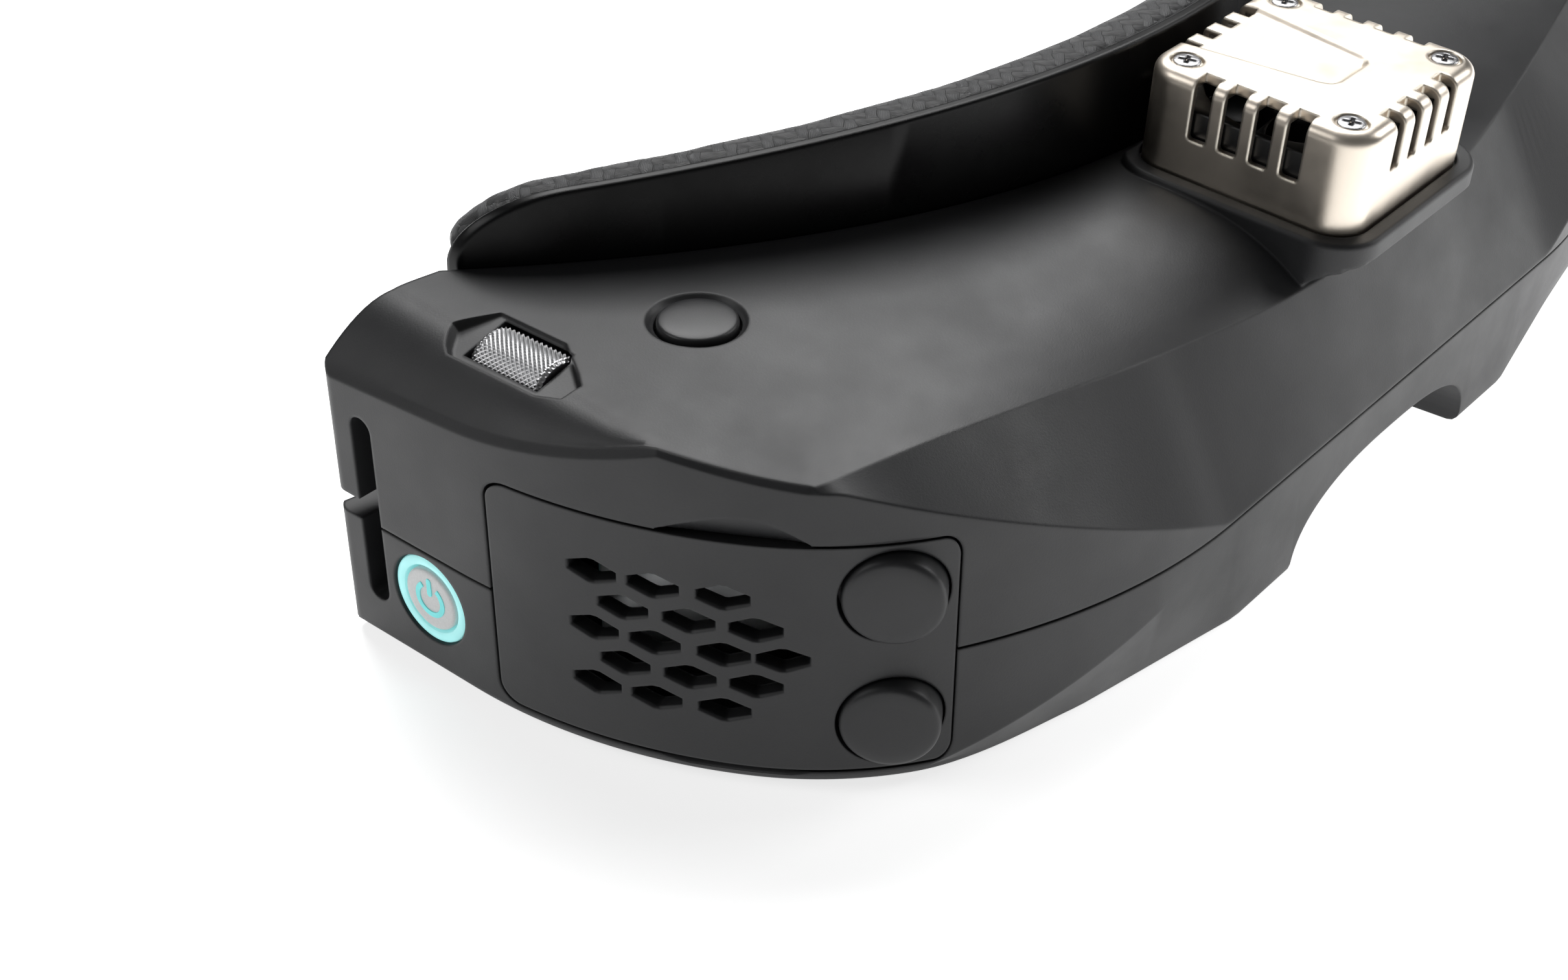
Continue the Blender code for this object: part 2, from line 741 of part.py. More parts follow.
def deck_height(x, y):
    """Height of the outer deck over a plan point, read from the section that passes nearest."""
    best = None
    for station in wall_stations(1.0, 30, 20):
        ring = upper_ring(station, 0.0, SEAM_Z, flush)[2:-1]
        for one, two in zip(ring, ring[1:]):
            run = Vector(two[:2]) - Vector(one[:2])
            share = (Vector((x, y)) - Vector(one[:2])).dot(run) / run.length_squared
            share = min(1.0, max(0.0, share))
            miss = (Vector(one[:2]) + run * share - Vector((x, y))).length
            if best is None or miss < best[0]:
                best = (miss, one[2] + (two[2] - one[2]) * share)
    return best[1]


def fan_collar():
    """The raised rim round the fan cover. Its front overhangs the brow and runs back under itself."""
    half = COVER_SIZE / 2 + GAP + COLLAR_WALL
    top = rounded(half, half, COVER_CORNER + COLLAR_WALL, 3)
    rings = []
    for depth, front in ((-COLLAR_SKIRT - 4.5, half - 5.2), (-COLLAR_SKIRT, half), (COLLAR_LIP, half)):
        ring = [(x, min(max(y, -front), COLLAR_BACK)) for x, y in top]
        rings.append([fan(x, y, depth) for x, y in ring])
    return loft(rings)


def bay_window():
    return panel_band(0.0, SHELL + 1.5, 2)


def lower_housing():
    stations = wall_stations(WALL_STEP, 3, 2)
    seam = SEAM_Z - SEAM_LINE / 2
    shape = shell_solid(lower_ring, 0.0, seam, flush, stations)
    shell = build("lower_housing", *shape, SHELL_GREY, 0.48)
    inner = cavity_stations(stations)
    cut(shell, "cavity", shell_solid(lower_ring, SHELL, seam + CUT_PAST, cavity_back, inner))
    add(shell, "bridge", clipped_bridge())
    cut(shell, "nose", nose_tunnel())
    for side in (-1, 1):
        cut(shell, f"bay_{side}", mirrored(bay_window(), side))
        pocket, slot = arm_cuts(side, (0, SEAM_Z + 3))
        cut(shell, f"strap_{side}", pocket, slot)
        ipd_features(shell, side)
        for i, (x, y) in enumerate(BOSSES):
            frame = at((side * x, y, 0))
            add(shell, f"boss_{side}_{i}", disc(BOSS_RADIUS, SHELL / 2, seam, frame, 16))
            cut(shell, f"shank_{side}_{i}", disc(HOUSING_SCREW_SHANK + GAP, -1, SEAM_Z + 1, frame, 12))
            head = disc(HOUSING_SCREW_HEAD + GAP, -1, HEAD_HEIGHT + 2 * GAP, frame, 16)
            cut(shell, f"head_{side}_{i}", head)
    power = at((-HALF_WIDTH, POWER_Y, POWER_Z), "x")
    cut(shell, "power", disc(POWER_RING + GAP / 2, -2, SHELL + 2, power))
    return shell


def clipped_bridge():
    """The wall over the nose tunnel, kept inside the shell."""
    front = nose_arch(NOSE_FRONT_HALF, NOSE_FRONT_RISE, SHELL / 2, grow=SHELL)
    back = nose_arch(NOSE_BACK_HALF, NOSE_BACK_RISE, FACE_Y - 0.2, grow=SHELL)
    rings = [[(x, y, max(z, SHELL / 2)) for x, y, z in ring] for ring in (front, back)]
    return loft([ring[:-2] for ring in rings])


def ipd_features(shell, side):
    """Posts for the slide rod, and the slot and recess of the adjuster."""
    reach = LUG_HALF + IPD_TRAVEL + GAP * 2
    for i, x in enumerate((IPD_HALF - reach - 1, IPD_HALF + reach + 1)):
        span_x = (side * x - 1, side * x + 1)
        post = box(span_x, around(ROD_Y, LUG_DEPTH), (SHELL / 2, ROD_Z + ROD_RADIUS + 1.2))
        add(shell, f"post_{side}_{i}", post)
    rod = disc(ROD_RADIUS + GAP, -reach - 3, reach + 3, at((side * IPD_HALF, ROD_Y, ROD_Z), "x"), 12)
    cut(shell, f"rod_{side}", rod)
    travel = IPD_TRAVEL * 2 + GAP * 2
    recess_x = around(side * IPD_HALF, KNOB_LENGTH + travel)
    cut(shell, f"recess_{side}", box(recess_x, around(ROD_Y, KNOB_WIDTH + GAP * 2), (-1, KNOB_RECESS)))
    slot_x = around(side * IPD_HALF, 3 + travel)
    cut(shell, f"slot_{side}", box(slot_x, around(ROD_Y, 3 + GAP * 2), (-1, SHELL + 1)))


# --- face plate and pad ------------------------------------------------------------------------


def rim_z(x):
    """Top of the face plate: a long crown, rounded off at each end."""
    crown = RIM_Z - RIM_DROP * (x / PLATE_HALF) ** 2
    start = PLATE_HALF - RIM_CORNER_X
    if x <= start:
        return crown
    t = min(1.0, (x - start) / RIM_CORNER_X)
    return crown - RIM_CORNER_Z * (1 - math.sqrt(max(0.0, 1 - t * t)))


def hem_z(x):
    """Bottom of the face plate."""
    start = PLATE_HALF - RIM_CORNER_X
    t = min(1.0, max(0.0, (x - start) / RIM_CORNER_X))
    return RIM_CORNER_Z * (1 - math.sqrt(1 - t * t))


def face_solid(front, back, inset):
    """A slab that follows the face, between two depths behind the housing."""
    half = PLATE_HALF - inset
    long_part = PLATE_HALF - RIM_CORNER_X
    xs = [long_part * i / 6 for i in range(6)]
    xs += [long_part + (half - long_part) * math.sin(math.radians(15 * i)) for i in range(7)]
    rings = []
    for x in [-x for x in reversed(xs[1:])] + xs:
        size = abs(x)
        low, high = hem_z(size) + inset, rim_z(size) - inset
        if size > half - 0.01:
            low, high = low + 0.5, high - 0.5
        y = face_y(size)
        near, far = y + front, y + back
        rings.append([(x, near, low), (x, far, low), (x, far, high), (x, near, high)])
    return loft(rings)


def eye_opening(inset):
    """One opening over both eyes, rising over the nose."""
    half = EYE_HALF - inset
    low, high = EYE_LOW_Z + inset, EYE_HIGH_Z - inset
    bridge = NOSE_PLATE_RISE + 3.5 + inset
    corner = 6.0
    outline = []
    for cx, cz, start in ((half, high, 0), (-half, high, 90), (-half, low, 180)):
        outline += corner_arc(cx, cz, start, corner)
    arch = [(NOSE_PLATE_HALF + 10, low), (NOSE_PLATE_HALF, bridge - 4), (NOSE_PLATE_HALF - 6, bridge)]
    outline += [(-x, z) for x, z in arch] + arch[::-1]
    outline += corner_arc(half, low, 270, corner)
    return prism(outline, FACE_Y - 10, DEPTH + 10, along_y)


def corner_arc(x, z, start, radius, steps=3):
    """Points round one corner, which bulges away from the middle of the outline."""
    sx, sz = {0: (1, 1), 90: (-1, 1), 180: (-1, -1), 270: (1, -1)}[start]
    points = []
    for i in range(steps + 1):
        angle = math.radians(start + 90 * i / steps)
        corner_z = z - sz * radius + radius * math.sin(angle)
        points.append((x - sx * radius + radius * math.cos(angle), corner_z))
    return points


def face_parts():
    plate = build("faceplate", *face_solid(GAP, GAP + PLATE, 0.0), DARK, 0.32)
    nose = nose_arch(NOSE_PLATE_HALF, NOSE_PLATE_RISE, FACE_Y - 10)
    through = [(x, DEPTH + 10, z) for x, _, z in nose]
    cut(plate, "eyes", eye_opening(0.0))
    cut(plate, "nose", loft([nose, through]))
    pad = build("face_pad", *face_solid(PAD_FRONT, PAD_FRONT + PAD, PAD_INSET), DARK, 0.9)
    cut(pad, "eyes", eye_opening(-0.5))
    nose = nose_arch(NOSE_PLATE_HALF, NOSE_PLATE_RISE, FACE_Y - 10, grow=0.5)
    cut(pad, "nose", loft([nose, [(x, DEPTH + 10, z) for x, _, z in nose]]))


# --- fan ---------------------------------------------------------------------------------------


def fan_screw_frame(sx, sy):
    def frame(a, b, c):
        return fan(sx * SCREW_X + a, sy * SCREW_Y + b, c)
    return frame


def fan_cover():
    half = COVER_SIZE / 2
    outline = rounded(half, half, COVER_CORNER)
    top = rounded(half - 1.0, half - 1.0, COVER_CORNER - 1.0)
    shoulder = rounded(half - 0.3, half - 0.3, COVER_CORNER - 0.3)
    levels = [(outline, -GAP), (outline, COVER_HEIGHT - 1.0)]
    levels += [(shoulder, COVER_HEIGHT - 0.3), (top, COVER_HEIGHT)]
    rings = [[fan(x, y, z) for x, y in ring] for ring, z in levels]
    cover = build("fan_cover", *loft(rings), BRONZE, 0.3, 0.9)
    inner = rounded(half - COVER_WALL, half - COVER_WALL, COVER_CORNER - COVER_WALL)
    cut(cover, "inside", prism(inner, -GAP - CUT_PAST, COVER_HEIGHT - COVER_WALL - RECESS_DEPTH, fan))
    back = half + CUT_PAST
    recess = [(-RECESS_BACK_HALF, back), (RECESS_BACK_HALF, back)]
    front = half - RECESS_LENGTH
    recess += [(RECESS_FRONT_HALF, front + 1), (RECESS_FRONT_HALF - 1, front)]
    recess += [(1 - RECESS_FRONT_HALF, front), (-RECESS_FRONT_HALF, front + 1)]
    cut(cover, "recess", prism(recess, COVER_HEIGHT - RECESS_DEPTH, COVER_HEIGHT + 1, fan))
    for i in range(SLOT_COUNT):
        place = (i - (SLOT_COUNT - 1) / 2) * SLOT_PITCH
        for sign in (-1, 1):
            depth = sorted((sign * (half - SLOT_OVER), sign * (half + CUT_PAST)))
            side = fan_box(depth, around(place, SIDE_SLOT), (SIDE_SLOT_LOW, COVER_HEIGHT + 1))
            front = fan_box(around(place, FRONT_SLOT), depth, (FRONT_SLOT_LOW, COVER_HEIGHT + 1))
            cut(cover, f"slot_{i}_{sign}", side, front)
    for sx in (-1, 1):
        for sy in (-1, 1):
            frame = fan_screw_frame(sx, sy)
            hole = disc(SCREW_SHANK + GAP, COVER_HEIGHT - 4, COVER_HEIGHT + 1, frame, 12)
            head = disc(SCREW_HEAD + GAP, COVER_HEIGHT - 0.6, COVER_HEIGHT + 1, frame, 16)
            cut(cover, f"screw_{sx}_{sy}", hole, head)


def fan_box(x, y, z):
    outline = [(x[0], y[0]), (x[1], y[0]), (x[1], y[1]), (x[0], y[1])]
    return prism(outline, z[0], z[1], fan)


def fan_screws():
    for i, (sx, sy) in enumerate(((-1, -1), (1, -1), (1, 1), (-1, 1))):
        top = COVER_HEIGHT + 0.05
        profile = [(0, -2.0), (SCREW_SHANK, -2.0), (SCREW_SHANK, COVER_HEIGHT - 0.3)]
        profile += [(SCREW_HEAD, COVER_HEIGHT - 0.25), (SCREW_HEAD - 0.15, top), (0, top)]
        frame = fan_screw_frame(sx, sy)
        screw = build(f"fan_screw_{i + 1}", *turned(profile, frame, 16), STEEL, 0.25, 1.0)
        for label, half_a, half_b in (("a", 0.9, 0.2), ("b", 0.2, 0.9)):
            cross = [(-half_a, -half_b), (half_a, -half_b), (half_a, half_b), (-half_a, half_b)]
            cut(screw, f"cross_{label}", prism(cross, top - 0.22, top + 0.5, frame))


def fan_unit():
    low, high = -GAP, -GAP + FAN_HEIGHT
    body = prism(rounded(FAN_SIZE / 2, FAN_SIZE / 2, 3.0), low, high, fan)
    frame = build("fan_frame", *body, DARK, 0.4)
    cut(frame, "bore", disc(FAN_BORE, low - 1, high + 1, fan, 32))
    add(frame, "stator", disc(FAN_HUB, low + 0.1, low + 1.2, fan))
    for i in range(3):
        angle = math.radians(120 * i + 30)
        c, s = math.cos(angle), math.sin(angle)
        inner, outer = FAN_HUB - 1.4, FAN_BORE + 0.5
        bar = ((inner, -0.7), (outer, -0.7), (outer, 0.7), (inner, 0.7))
        strut = [(a * c - b * s, a * s + b * c) for a, b in bar]
        add(frame, f"strut_{i}", prism(strut, low + 0.2, low + 0.9, fan))
    cut(frame, "bearing", disc(0.8 + GAP, low - 1, low + 3, fan, 12))
    for sx in (-1, 1):
        for sy in (-1, 1):
            hole = disc(SCREW_SHANK + GAP, low - 1, high + 1, fan_screw_frame(sx, sy), 12)
            cut(frame, f"screw_{sx}_{sy}", hole)
    hub_low = low + 1.2 + GAP
    profile = [(0, low + 0.3), (0.8, low + 0.3), (0.8, hub_low), (FAN_HUB, hub_low)]
    profile += [(FAN_HUB, high - 0.6), (FAN_HUB - 0.6, high), (0, high)]
    rotor = build("fan_rotor", *turned(profile, fan), DARK, 0.35, pivot=fan(0, 0, 0))
    turns = [math.radians(360 * i / FAN_BLADES) for i in range(FAN_BLADES)]
    blades = joined(fan_blade(turn, hub_low + 0.2, high - 0.5) for turn in turns)
    boolean(rotor, "UNION", blades, "add_blades", "MANIFOLD")


def fan_blade(angle, low, high):
    """One swept blade, from inside the hub to just short of the bore."""
    rings = []
    for radius, sweep in ((FAN_HUB - 1, 0.0), (8.4, 0.1), (FAN_BORE - 2 * GAP, 0.24)):
        pitch = 0.42 - 0.012 * radius
        ring = []
        for side, thick in ((-1, -0.25), (1, -0.25), (1, 0.25), (-1, 0.25)):
            turn = angle + sweep + side * pitch + thick / radius
            z = (low + high) / 2 + side * (high - low) / 2
            ring.append(fan(radius * math.cos(turn), radius * math.sin(turn), z))
        rings.append(ring)
    return loft(rings)


# --- controls ----------------------------------------------------------------------------------


def jog_wheel():
    frame = at(JOG_CENTER, "y")
    half = WHEEL_LENGTH / 2
    outline = []
    for i in range(WHEEL_TEETH * 2):
        angle = math.pi * i / WHEEL_TEETH
        radius = WHEEL_RADIUS - (0.35 if i % 2 else 0.0)
        outline.append((radius * math.cos(angle), radius * math.sin(angle)))
    shape = prism(outline, -half, half, frame)
    wheel = build("jog_wheel", *shape, STEEL, 0.3, 0.9, pivot=JOG_CENTER)
    cut(wheel, "bore", disc(WHEEL_BORE, -half - 1, half + 1, frame, 16))
    reach = half + GAP + BRACKET_WALL
    build("jog_axle", *disc(AXLE_RADIUS, -reach, reach, frame, 12), STEEL, 0.3, 1.0)
    x, y, z = JOG_CENTER
    floor_z = z - WHEEL_RADIUS - 2 * GAP
    span_z = (floor_z - BRACKET_WALL, z + BRACKET_TOP)
    block = box(around(x, BRACKET_WIDTH), (y - reach, y + reach), span_z)
    bracket = build("jog_encoder", *block, DARK, 0.5)
    cut(bracket, "bay", box(around(x, 8), (y - half - GAP, y + half + GAP), (floor_z, z + 3)))
    cut(bracket, "axle", disc(AXLE_RADIUS + GAP, -reach - 1, reach + 1, frame, 12))


def menu_button():
    top = deck_height(MENU_X, MENU_Y)
    center = (-MENU_X, MENU_Y, top)
    frame = at(center)
    inside = -SHELL - 0.8 - MENU_PRESS
    flange = MENU_RADIUS + 0.9
    profile = [(0, inside - 2.4), (1.5, inside - 2.4), (1.5, inside - 1.0), (flange, inside - 1.0)]
    profile += [(flange, inside + MENU_PRESS), (MENU_RADIUS, inside + MENU_PRESS)]
    profile += [(MENU_RADIUS, -0.2), (MENU_RADIUS - 0.3, 0.1), (MENU_RADIUS / 2, 0.3), (0, 0.36)]
    build("menu_button", *turned(profile, frame), SHELL_GREY, 0.5, pivot=center)
    x, y, z = center
    plunger_z = z + inside - 2.4 - MENU_PRESS - GAP
    shape = box(around(x, 6), around(y, 6), (plunger_z - 3.0, plunger_z))
    build("menu_switch", *shape, DARK, 0.5)


def power_button():
    center = (-HALF_WIDTH, POWER_Y, POWER_Z)
    frame = at(center, "x")
    ring_in = POWER_RADIUS + GAP
    ring = [(POWER_RING, 0.15), (POWER_RING, SHELL), (POWER_RING - 0.8, SHELL)]
    ring += [(POWER_RING - 0.8, SHELL + 1.3), (ring_in, SHELL + 1.3), (ring_in, 0.15)]
    build("power_light_ring", *turned(ring, frame, 32), CYAN, 0.4)
    stem = SHELL + 1.3 + GAP + POWER_PRESS
    profile = [(0, 0.1), (POWER_RADIUS - 0.2, 0.1), (POWER_RADIUS, 0.3), (POWER_RADIUS, SHELL + 1.2)]
    profile += [(1.5, SHELL + 1.2), (1.5, stem + 1), (0, stem + 1)]
    build("power_button", *turned(profile, frame, 32), SILVER, 0.4, pivot=center)
    back = center[0] + stem + 1 + POWER_PRESS + GAP
    build("power_switch", *box((back, back + 3), around(POWER_Y, 6), around(POWER_Z, 6)), DARK, 0.5)


# --- side bays ---------------------------------------------------------------------------------


def bay_panel(name):
    """The curved panel that closes a bay, flush with the wall."""
    side = -1 if name == "bay_cover" else 1
    return build(name, *mirrored(panel_band(GAP, COVER, 0.0), side), SHELL_GREY, 0.48)


def vent_shape(turn, z):
    """One hexagonal vent through the cover, square to the wall."""
    x, y = wall_point(turn)
    angle = math.radians(turn)
    out = Vector((math.sin(angle), -math.cos(angle)))
    across = Vector((math.cos(angle), math.sin(angle)))

    def frame(a, b, c):
        return (-(x + across.x * a + out.x * c), y + across.y * a + out.y * c, z + b)
    w, h, s = VENT_HALF_WIDTH, VENT_HALF_HEIGHT, VENT_SIDE
    return prism([(w, -s), (w, s), (0, h), (-w, s), (-w, -s), (0, -h)], -COVER - 1, 1, frame)


def receiver_bay():
    cover = bay_panel("bay_cover")
    vents = []
    for turn, rows in zip(VENT_TURNS, VENT_ROWS):
        for row in range(rows):
            z = SEAM_Z + 0.2 + (row - (rows - 1) / 2) * 2 * VENT_PITCH
            vents.append(vent_shape(turn, z))
    cut(cover, "vents", joined(vents))
    for name, z in (("upper", SEAM_Z + AERIAL_HALF_PITCH), ("lower", SEAM_Z - AERIAL_HALF_PITCH)):
        frame = bay(-1, 0.0, z)
        cut(cover, f"aerial_{name}", disc(CAP_RADIUS + GAP, -12, 6, frame))
        back = CAP_PROUD - CAP_LENGTH
        crown = CAP_PROUD - CAP_CROWN
        profile = [(0, back + 4.2), (CAP_BORE, back + 4.2), (CAP_BORE, back), (CAP_RADIUS + 0.1, back)]
        profile += [(CAP_RADIUS, crown), (CAP_RADIUS - 0.8, crown + 0.3), (0, CAP_PROUD)]
        build(f"antenna_cap_{name}", *turned(profile, frame, 28), SHELL_GREY, 0.5)
        thread = CAP_BORE - GAP
        tip = back + 4.2 - GAP
        nut = back - 2 * GAP
        profile = [(0, -10 + GAP), (thread, -10 + GAP), (thread, nut - 1.6), (4.4, nut - 1.6), (4.4, nut)]
        profile += [(thread, nut), (thread, tip), (2.3, tip), (2.3, tip - 2.5), (0, tip - 2.5)]
        build(f"antenna_connector_{name}", *turned(profile, frame, 20), BRASS, 0.3, 1.0)
    module = prism([(-6, -11), (29, -11), (29, 11), (-6, 11)], -19, -10, bay(-1))
    build("receiver_module", *module, DARK, 0.5)


def port_bay():
    """The other bay holds the sockets behind a fixed panel."""
    panel = bay_panel("port_panel")
    board_front = -13.0
    board = prism([(-6, -10), (31, -10), (31, 10), (-6, 10)], board_front - 1.6, board_front, bay(1))
    build("port_board", *board, BOARD_GREEN, 0.5)
    back = board_front + GAP

    def socket(name, along, z, half_along, half_z, bore, color):
        frame = bay(1, along, SEAM_Z + z)
        face = min(bay_wall_depth(along - half_along), bay_wall_depth(along + half_along)) - 0.4
        if half_along == half_z:
            floor = back + 1.5
            profile = [(0, back), (half_along, back), (half_along, face), (bore, face), (bore, floor)]
            pin = [(1.0, floor), (1.0, face - 1.5), (0, face - 1.5)]
            profile += pin if name == "dc_jack" else [(0, floor)]
            build(name, *turned(profile, frame, 20), color, 0.4)
            cut(panel, name, disc(half_along + GAP, back, 8, frame))
            return
        outline = [(-half_along, -half_z), (half_along, -half_z)]
        outline += [(half_along, half_z), (-half_along, half_z)]
        body = build(name, *prism(outline, back, face, frame), color, 0.4, 0.8)
        inner = [(a - math.copysign(0.6, a), b - math.copysign(bore, b)) for a, b in outline]
        cut(body, "mouth", prism(inner, back + 2, face + 1, frame))
        hole = [(a + math.copysign(GAP, a), b + math.copysign(GAP, b)) for a, b in outline]
        cut(panel, name, prism(hole, back, 8, frame))

    socket("dc_jack", 1.0, 0.0, 4.2, 4.2, 2.8, DARK)
    socket("audio_jack", 11.5, 5.0, 3.0, 3.0, 1.8, DARK)
    socket("video_port", 21.5, -4.0, 7.6, 2.8, 0.6, STEEL)
    socket("card_slot", 23.0, 6.0, 6.4, 1.2, 0.5, STEEL)


# --- optics ------------------------------------------------------------------------------------


def optics(side):
    word = "right" if side < 0 else "left"
    center = (side * IPD_HALF, 0.0, OPTIC_Z)
    frame = at(center, "y")
    inner = BARREL_RADIUS - BARREL_WALL
    front, back = BARREL_FRONT_Y, BARREL_BACK_Y
    profile = [(BARREL_RADIUS, back), (BARREL_RADIUS, front + 3), (BARREL_RADIUS - 3, front)]
    profile += [(5.5, front), (5.5, front + 1.5), (inner - 2.5, front + 1.5), (inner - 0.5, front + 4)]
    profile += [(inner - 0.5, back - LENS_EDGE - 1.5), (inner, back - LENS_EDGE - 1.5), (inner, back)]
    barrel = build(f"lens_barrel_{word}", *turned(profile, frame, 28), DARK, 0.55)
    x = side * IPD_HALF
    lug_low = ROD_Z - ROD_RADIUS - 1.0
    lug = box(around(x, 2 * LUG_HALF), around(ROD_Y, LUG_DEPTH), (lug_low, OPTIC_Z - inner - 0.4))
    add(barrel, "lug", lug)
    rod_frame = at((x, ROD_Y, ROD_Z), "x")
    cut(barrel, "rod", disc(ROD_RADIUS + GAP, -LUG_HALF - 1, LUG_HALF + 1, rod_frame, 12))
    glass = lens_profile(inner - GAP, back - LENS_EDGE - GAP, back - GAP)
    build(f"lens_{word}", *turned(glass, at((x, -GAP, OPTIC_Z), "y"), 28), GLASS, 0.05)
    panel = box(around(x, 15.0), (front - GAP - 1.6, front - GAP), around(OPTIC_Z, 12.0))
    build(f"display_{word}", *panel, SCREEN, 0.2)
    reach = LUG_HALF + IPD_TRAVEL + GAP * 2 + 1.9
    build(f"ipd_rod_{word}", *disc(ROD_RADIUS, -reach, reach, rod_frame, 12), STEEL, 0.3, 1.0)
    head = box(around(x, KNOB_LENGTH), around(ROD_Y, KNOB_WIDTH), (GAP, KNOB_RECESS - GAP))
    knob = build(f"ipd_knob_{word}", *head, SHELL_GREY, 0.6)
    add(knob, "stem", box(around(x, 3), around(ROD_Y, 3), (2 * GAP, lug_low - GAP)))


def lens_profile(radius, far, near):
    """A biconvex lens with a flat edge."""
    rows = ((0.0, 1.0), (0.35, 0.88), (0.7, 0.5))
    profile = [(radius * r, far - LENS_CROWN * h) for r, h in rows] + [(radius, far)]
    profile += [(radius, near)] + [(radius * r, near + LENS_CROWN * h) for r, h in reversed(rows)]
    return profile


def inside_parts():
    board = box((-27, 27), (8.2, 9.8), (SEAM_Z - 2.0, SEAM_Z + 9.0))
    build("main_board", *board, BOARD_GREEN, 0.5)
    for i, (side, (x, y)) in enumerate((side, boss) for side in (-1, 1) for boss in BOSSES):
        frame = at((side * x, y, 0))
        profile = [(0, GAP), (HOUSING_SCREW_HEAD, GAP), (HOUSING_SCREW_HEAD, GAP + HEAD_HEIGHT)]
        profile += [(HOUSING_SCREW_SHANK, GAP + HEAD_HEIGHT), (HOUSING_SCREW_SHANK, HOUSING_SCREW_TOP)]
        profile += [(0, HOUSING_SCREW_TOP)]
        screw = build(f"housing_screw_{i + 1}", *turned(profile, frame, 16), STEEL, 0.35, 1.0)
        cut(screw, "socket", disc(1.1, GAP - 1, GAP + 0.8, frame, 6))


def main():
    for obj in list(bpy.data.objects):
        bpy.data.objects.remove(obj)
    upper_housing()
    lower_housing()
    face_parts()
    fan_cover()
    fan_screws()
    fan_unit()
    jog_wheel()
    menu_button()
    power_button()
    receiver_bay()
    port_bay()
    for side in (-1, 1):
        optics(side)
    inside_parts()


main()
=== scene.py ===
import math

import bmesh
import bpy
import numpy as np
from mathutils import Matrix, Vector

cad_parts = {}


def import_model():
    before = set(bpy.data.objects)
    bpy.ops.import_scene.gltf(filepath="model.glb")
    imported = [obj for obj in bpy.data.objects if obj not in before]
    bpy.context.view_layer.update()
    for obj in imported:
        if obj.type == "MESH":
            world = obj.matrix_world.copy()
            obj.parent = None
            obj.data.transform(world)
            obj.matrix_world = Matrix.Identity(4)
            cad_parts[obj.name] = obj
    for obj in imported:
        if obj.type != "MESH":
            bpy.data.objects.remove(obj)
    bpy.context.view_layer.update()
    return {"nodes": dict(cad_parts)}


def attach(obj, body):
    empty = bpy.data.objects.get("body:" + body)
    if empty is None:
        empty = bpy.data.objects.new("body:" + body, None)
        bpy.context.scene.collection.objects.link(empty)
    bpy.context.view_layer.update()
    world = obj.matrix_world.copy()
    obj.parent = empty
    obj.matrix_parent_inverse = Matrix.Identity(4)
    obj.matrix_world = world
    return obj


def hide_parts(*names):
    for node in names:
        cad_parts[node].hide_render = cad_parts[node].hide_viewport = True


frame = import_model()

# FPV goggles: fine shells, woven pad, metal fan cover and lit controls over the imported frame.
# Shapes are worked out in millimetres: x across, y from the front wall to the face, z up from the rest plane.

MM = 0.001
GAP = 0.3
HALF_WIDTH = 92.6
WALL_ARCS = ((68.0, 30.0), (39.8, 60.0), (60.7, 90.0))
ARM_STRAIGHT = 18.6
SEAM_Z = 16.0
DECK_Z = SEAM_Z + 22.5
SHELL = 2.0
EDGE = 0.6
FACE_Y = 31.0
FACE_RADIUS = 80.0
FACE_HALF = 78.5
PLATE = 1.6
PLATE_HALF = 77.0
PAD = 7.0
PAD_INSET = 0.5
RIM_DROP = 5.8
RIM_CORNER_X = 9.0
RIM_CORNER_Z = 6.5
BAY_TURNS = (30.4, 86.0)
BAY_HALF_HEIGHT = 13.7
BAY_CORNER = 2.5
COVER = 1.8
FAN_Y = 16.4
FAN_Z = DECK_Z - 0.3
FAN_TILT = math.radians(2.9)
COVER_SIZE = 27.0
COVER_HEIGHT = 11.9
POD_SLOPE = 0.682
POD_FALL = 0.066
NOSE_POWER = 2.6
IPD_HALF = 32.0
OPTIC_Z = SEAM_Z + 3.5
SLIDE_Y = 23.4
TOW = 1.25


def face_y(x):
    return FACE_Y + x * x / (2 * FACE_RADIUS)


PAD_FRONT = GAP + PLATE + GAP
DEPTH = face_y(PLATE_HALF - PAD_INSET) + PAD_FRONT + PAD


def world(p):
    return (p[0] * MM, (p[1] - DEPTH / 2) * MM, p[2] * MM)


# --- materials ---


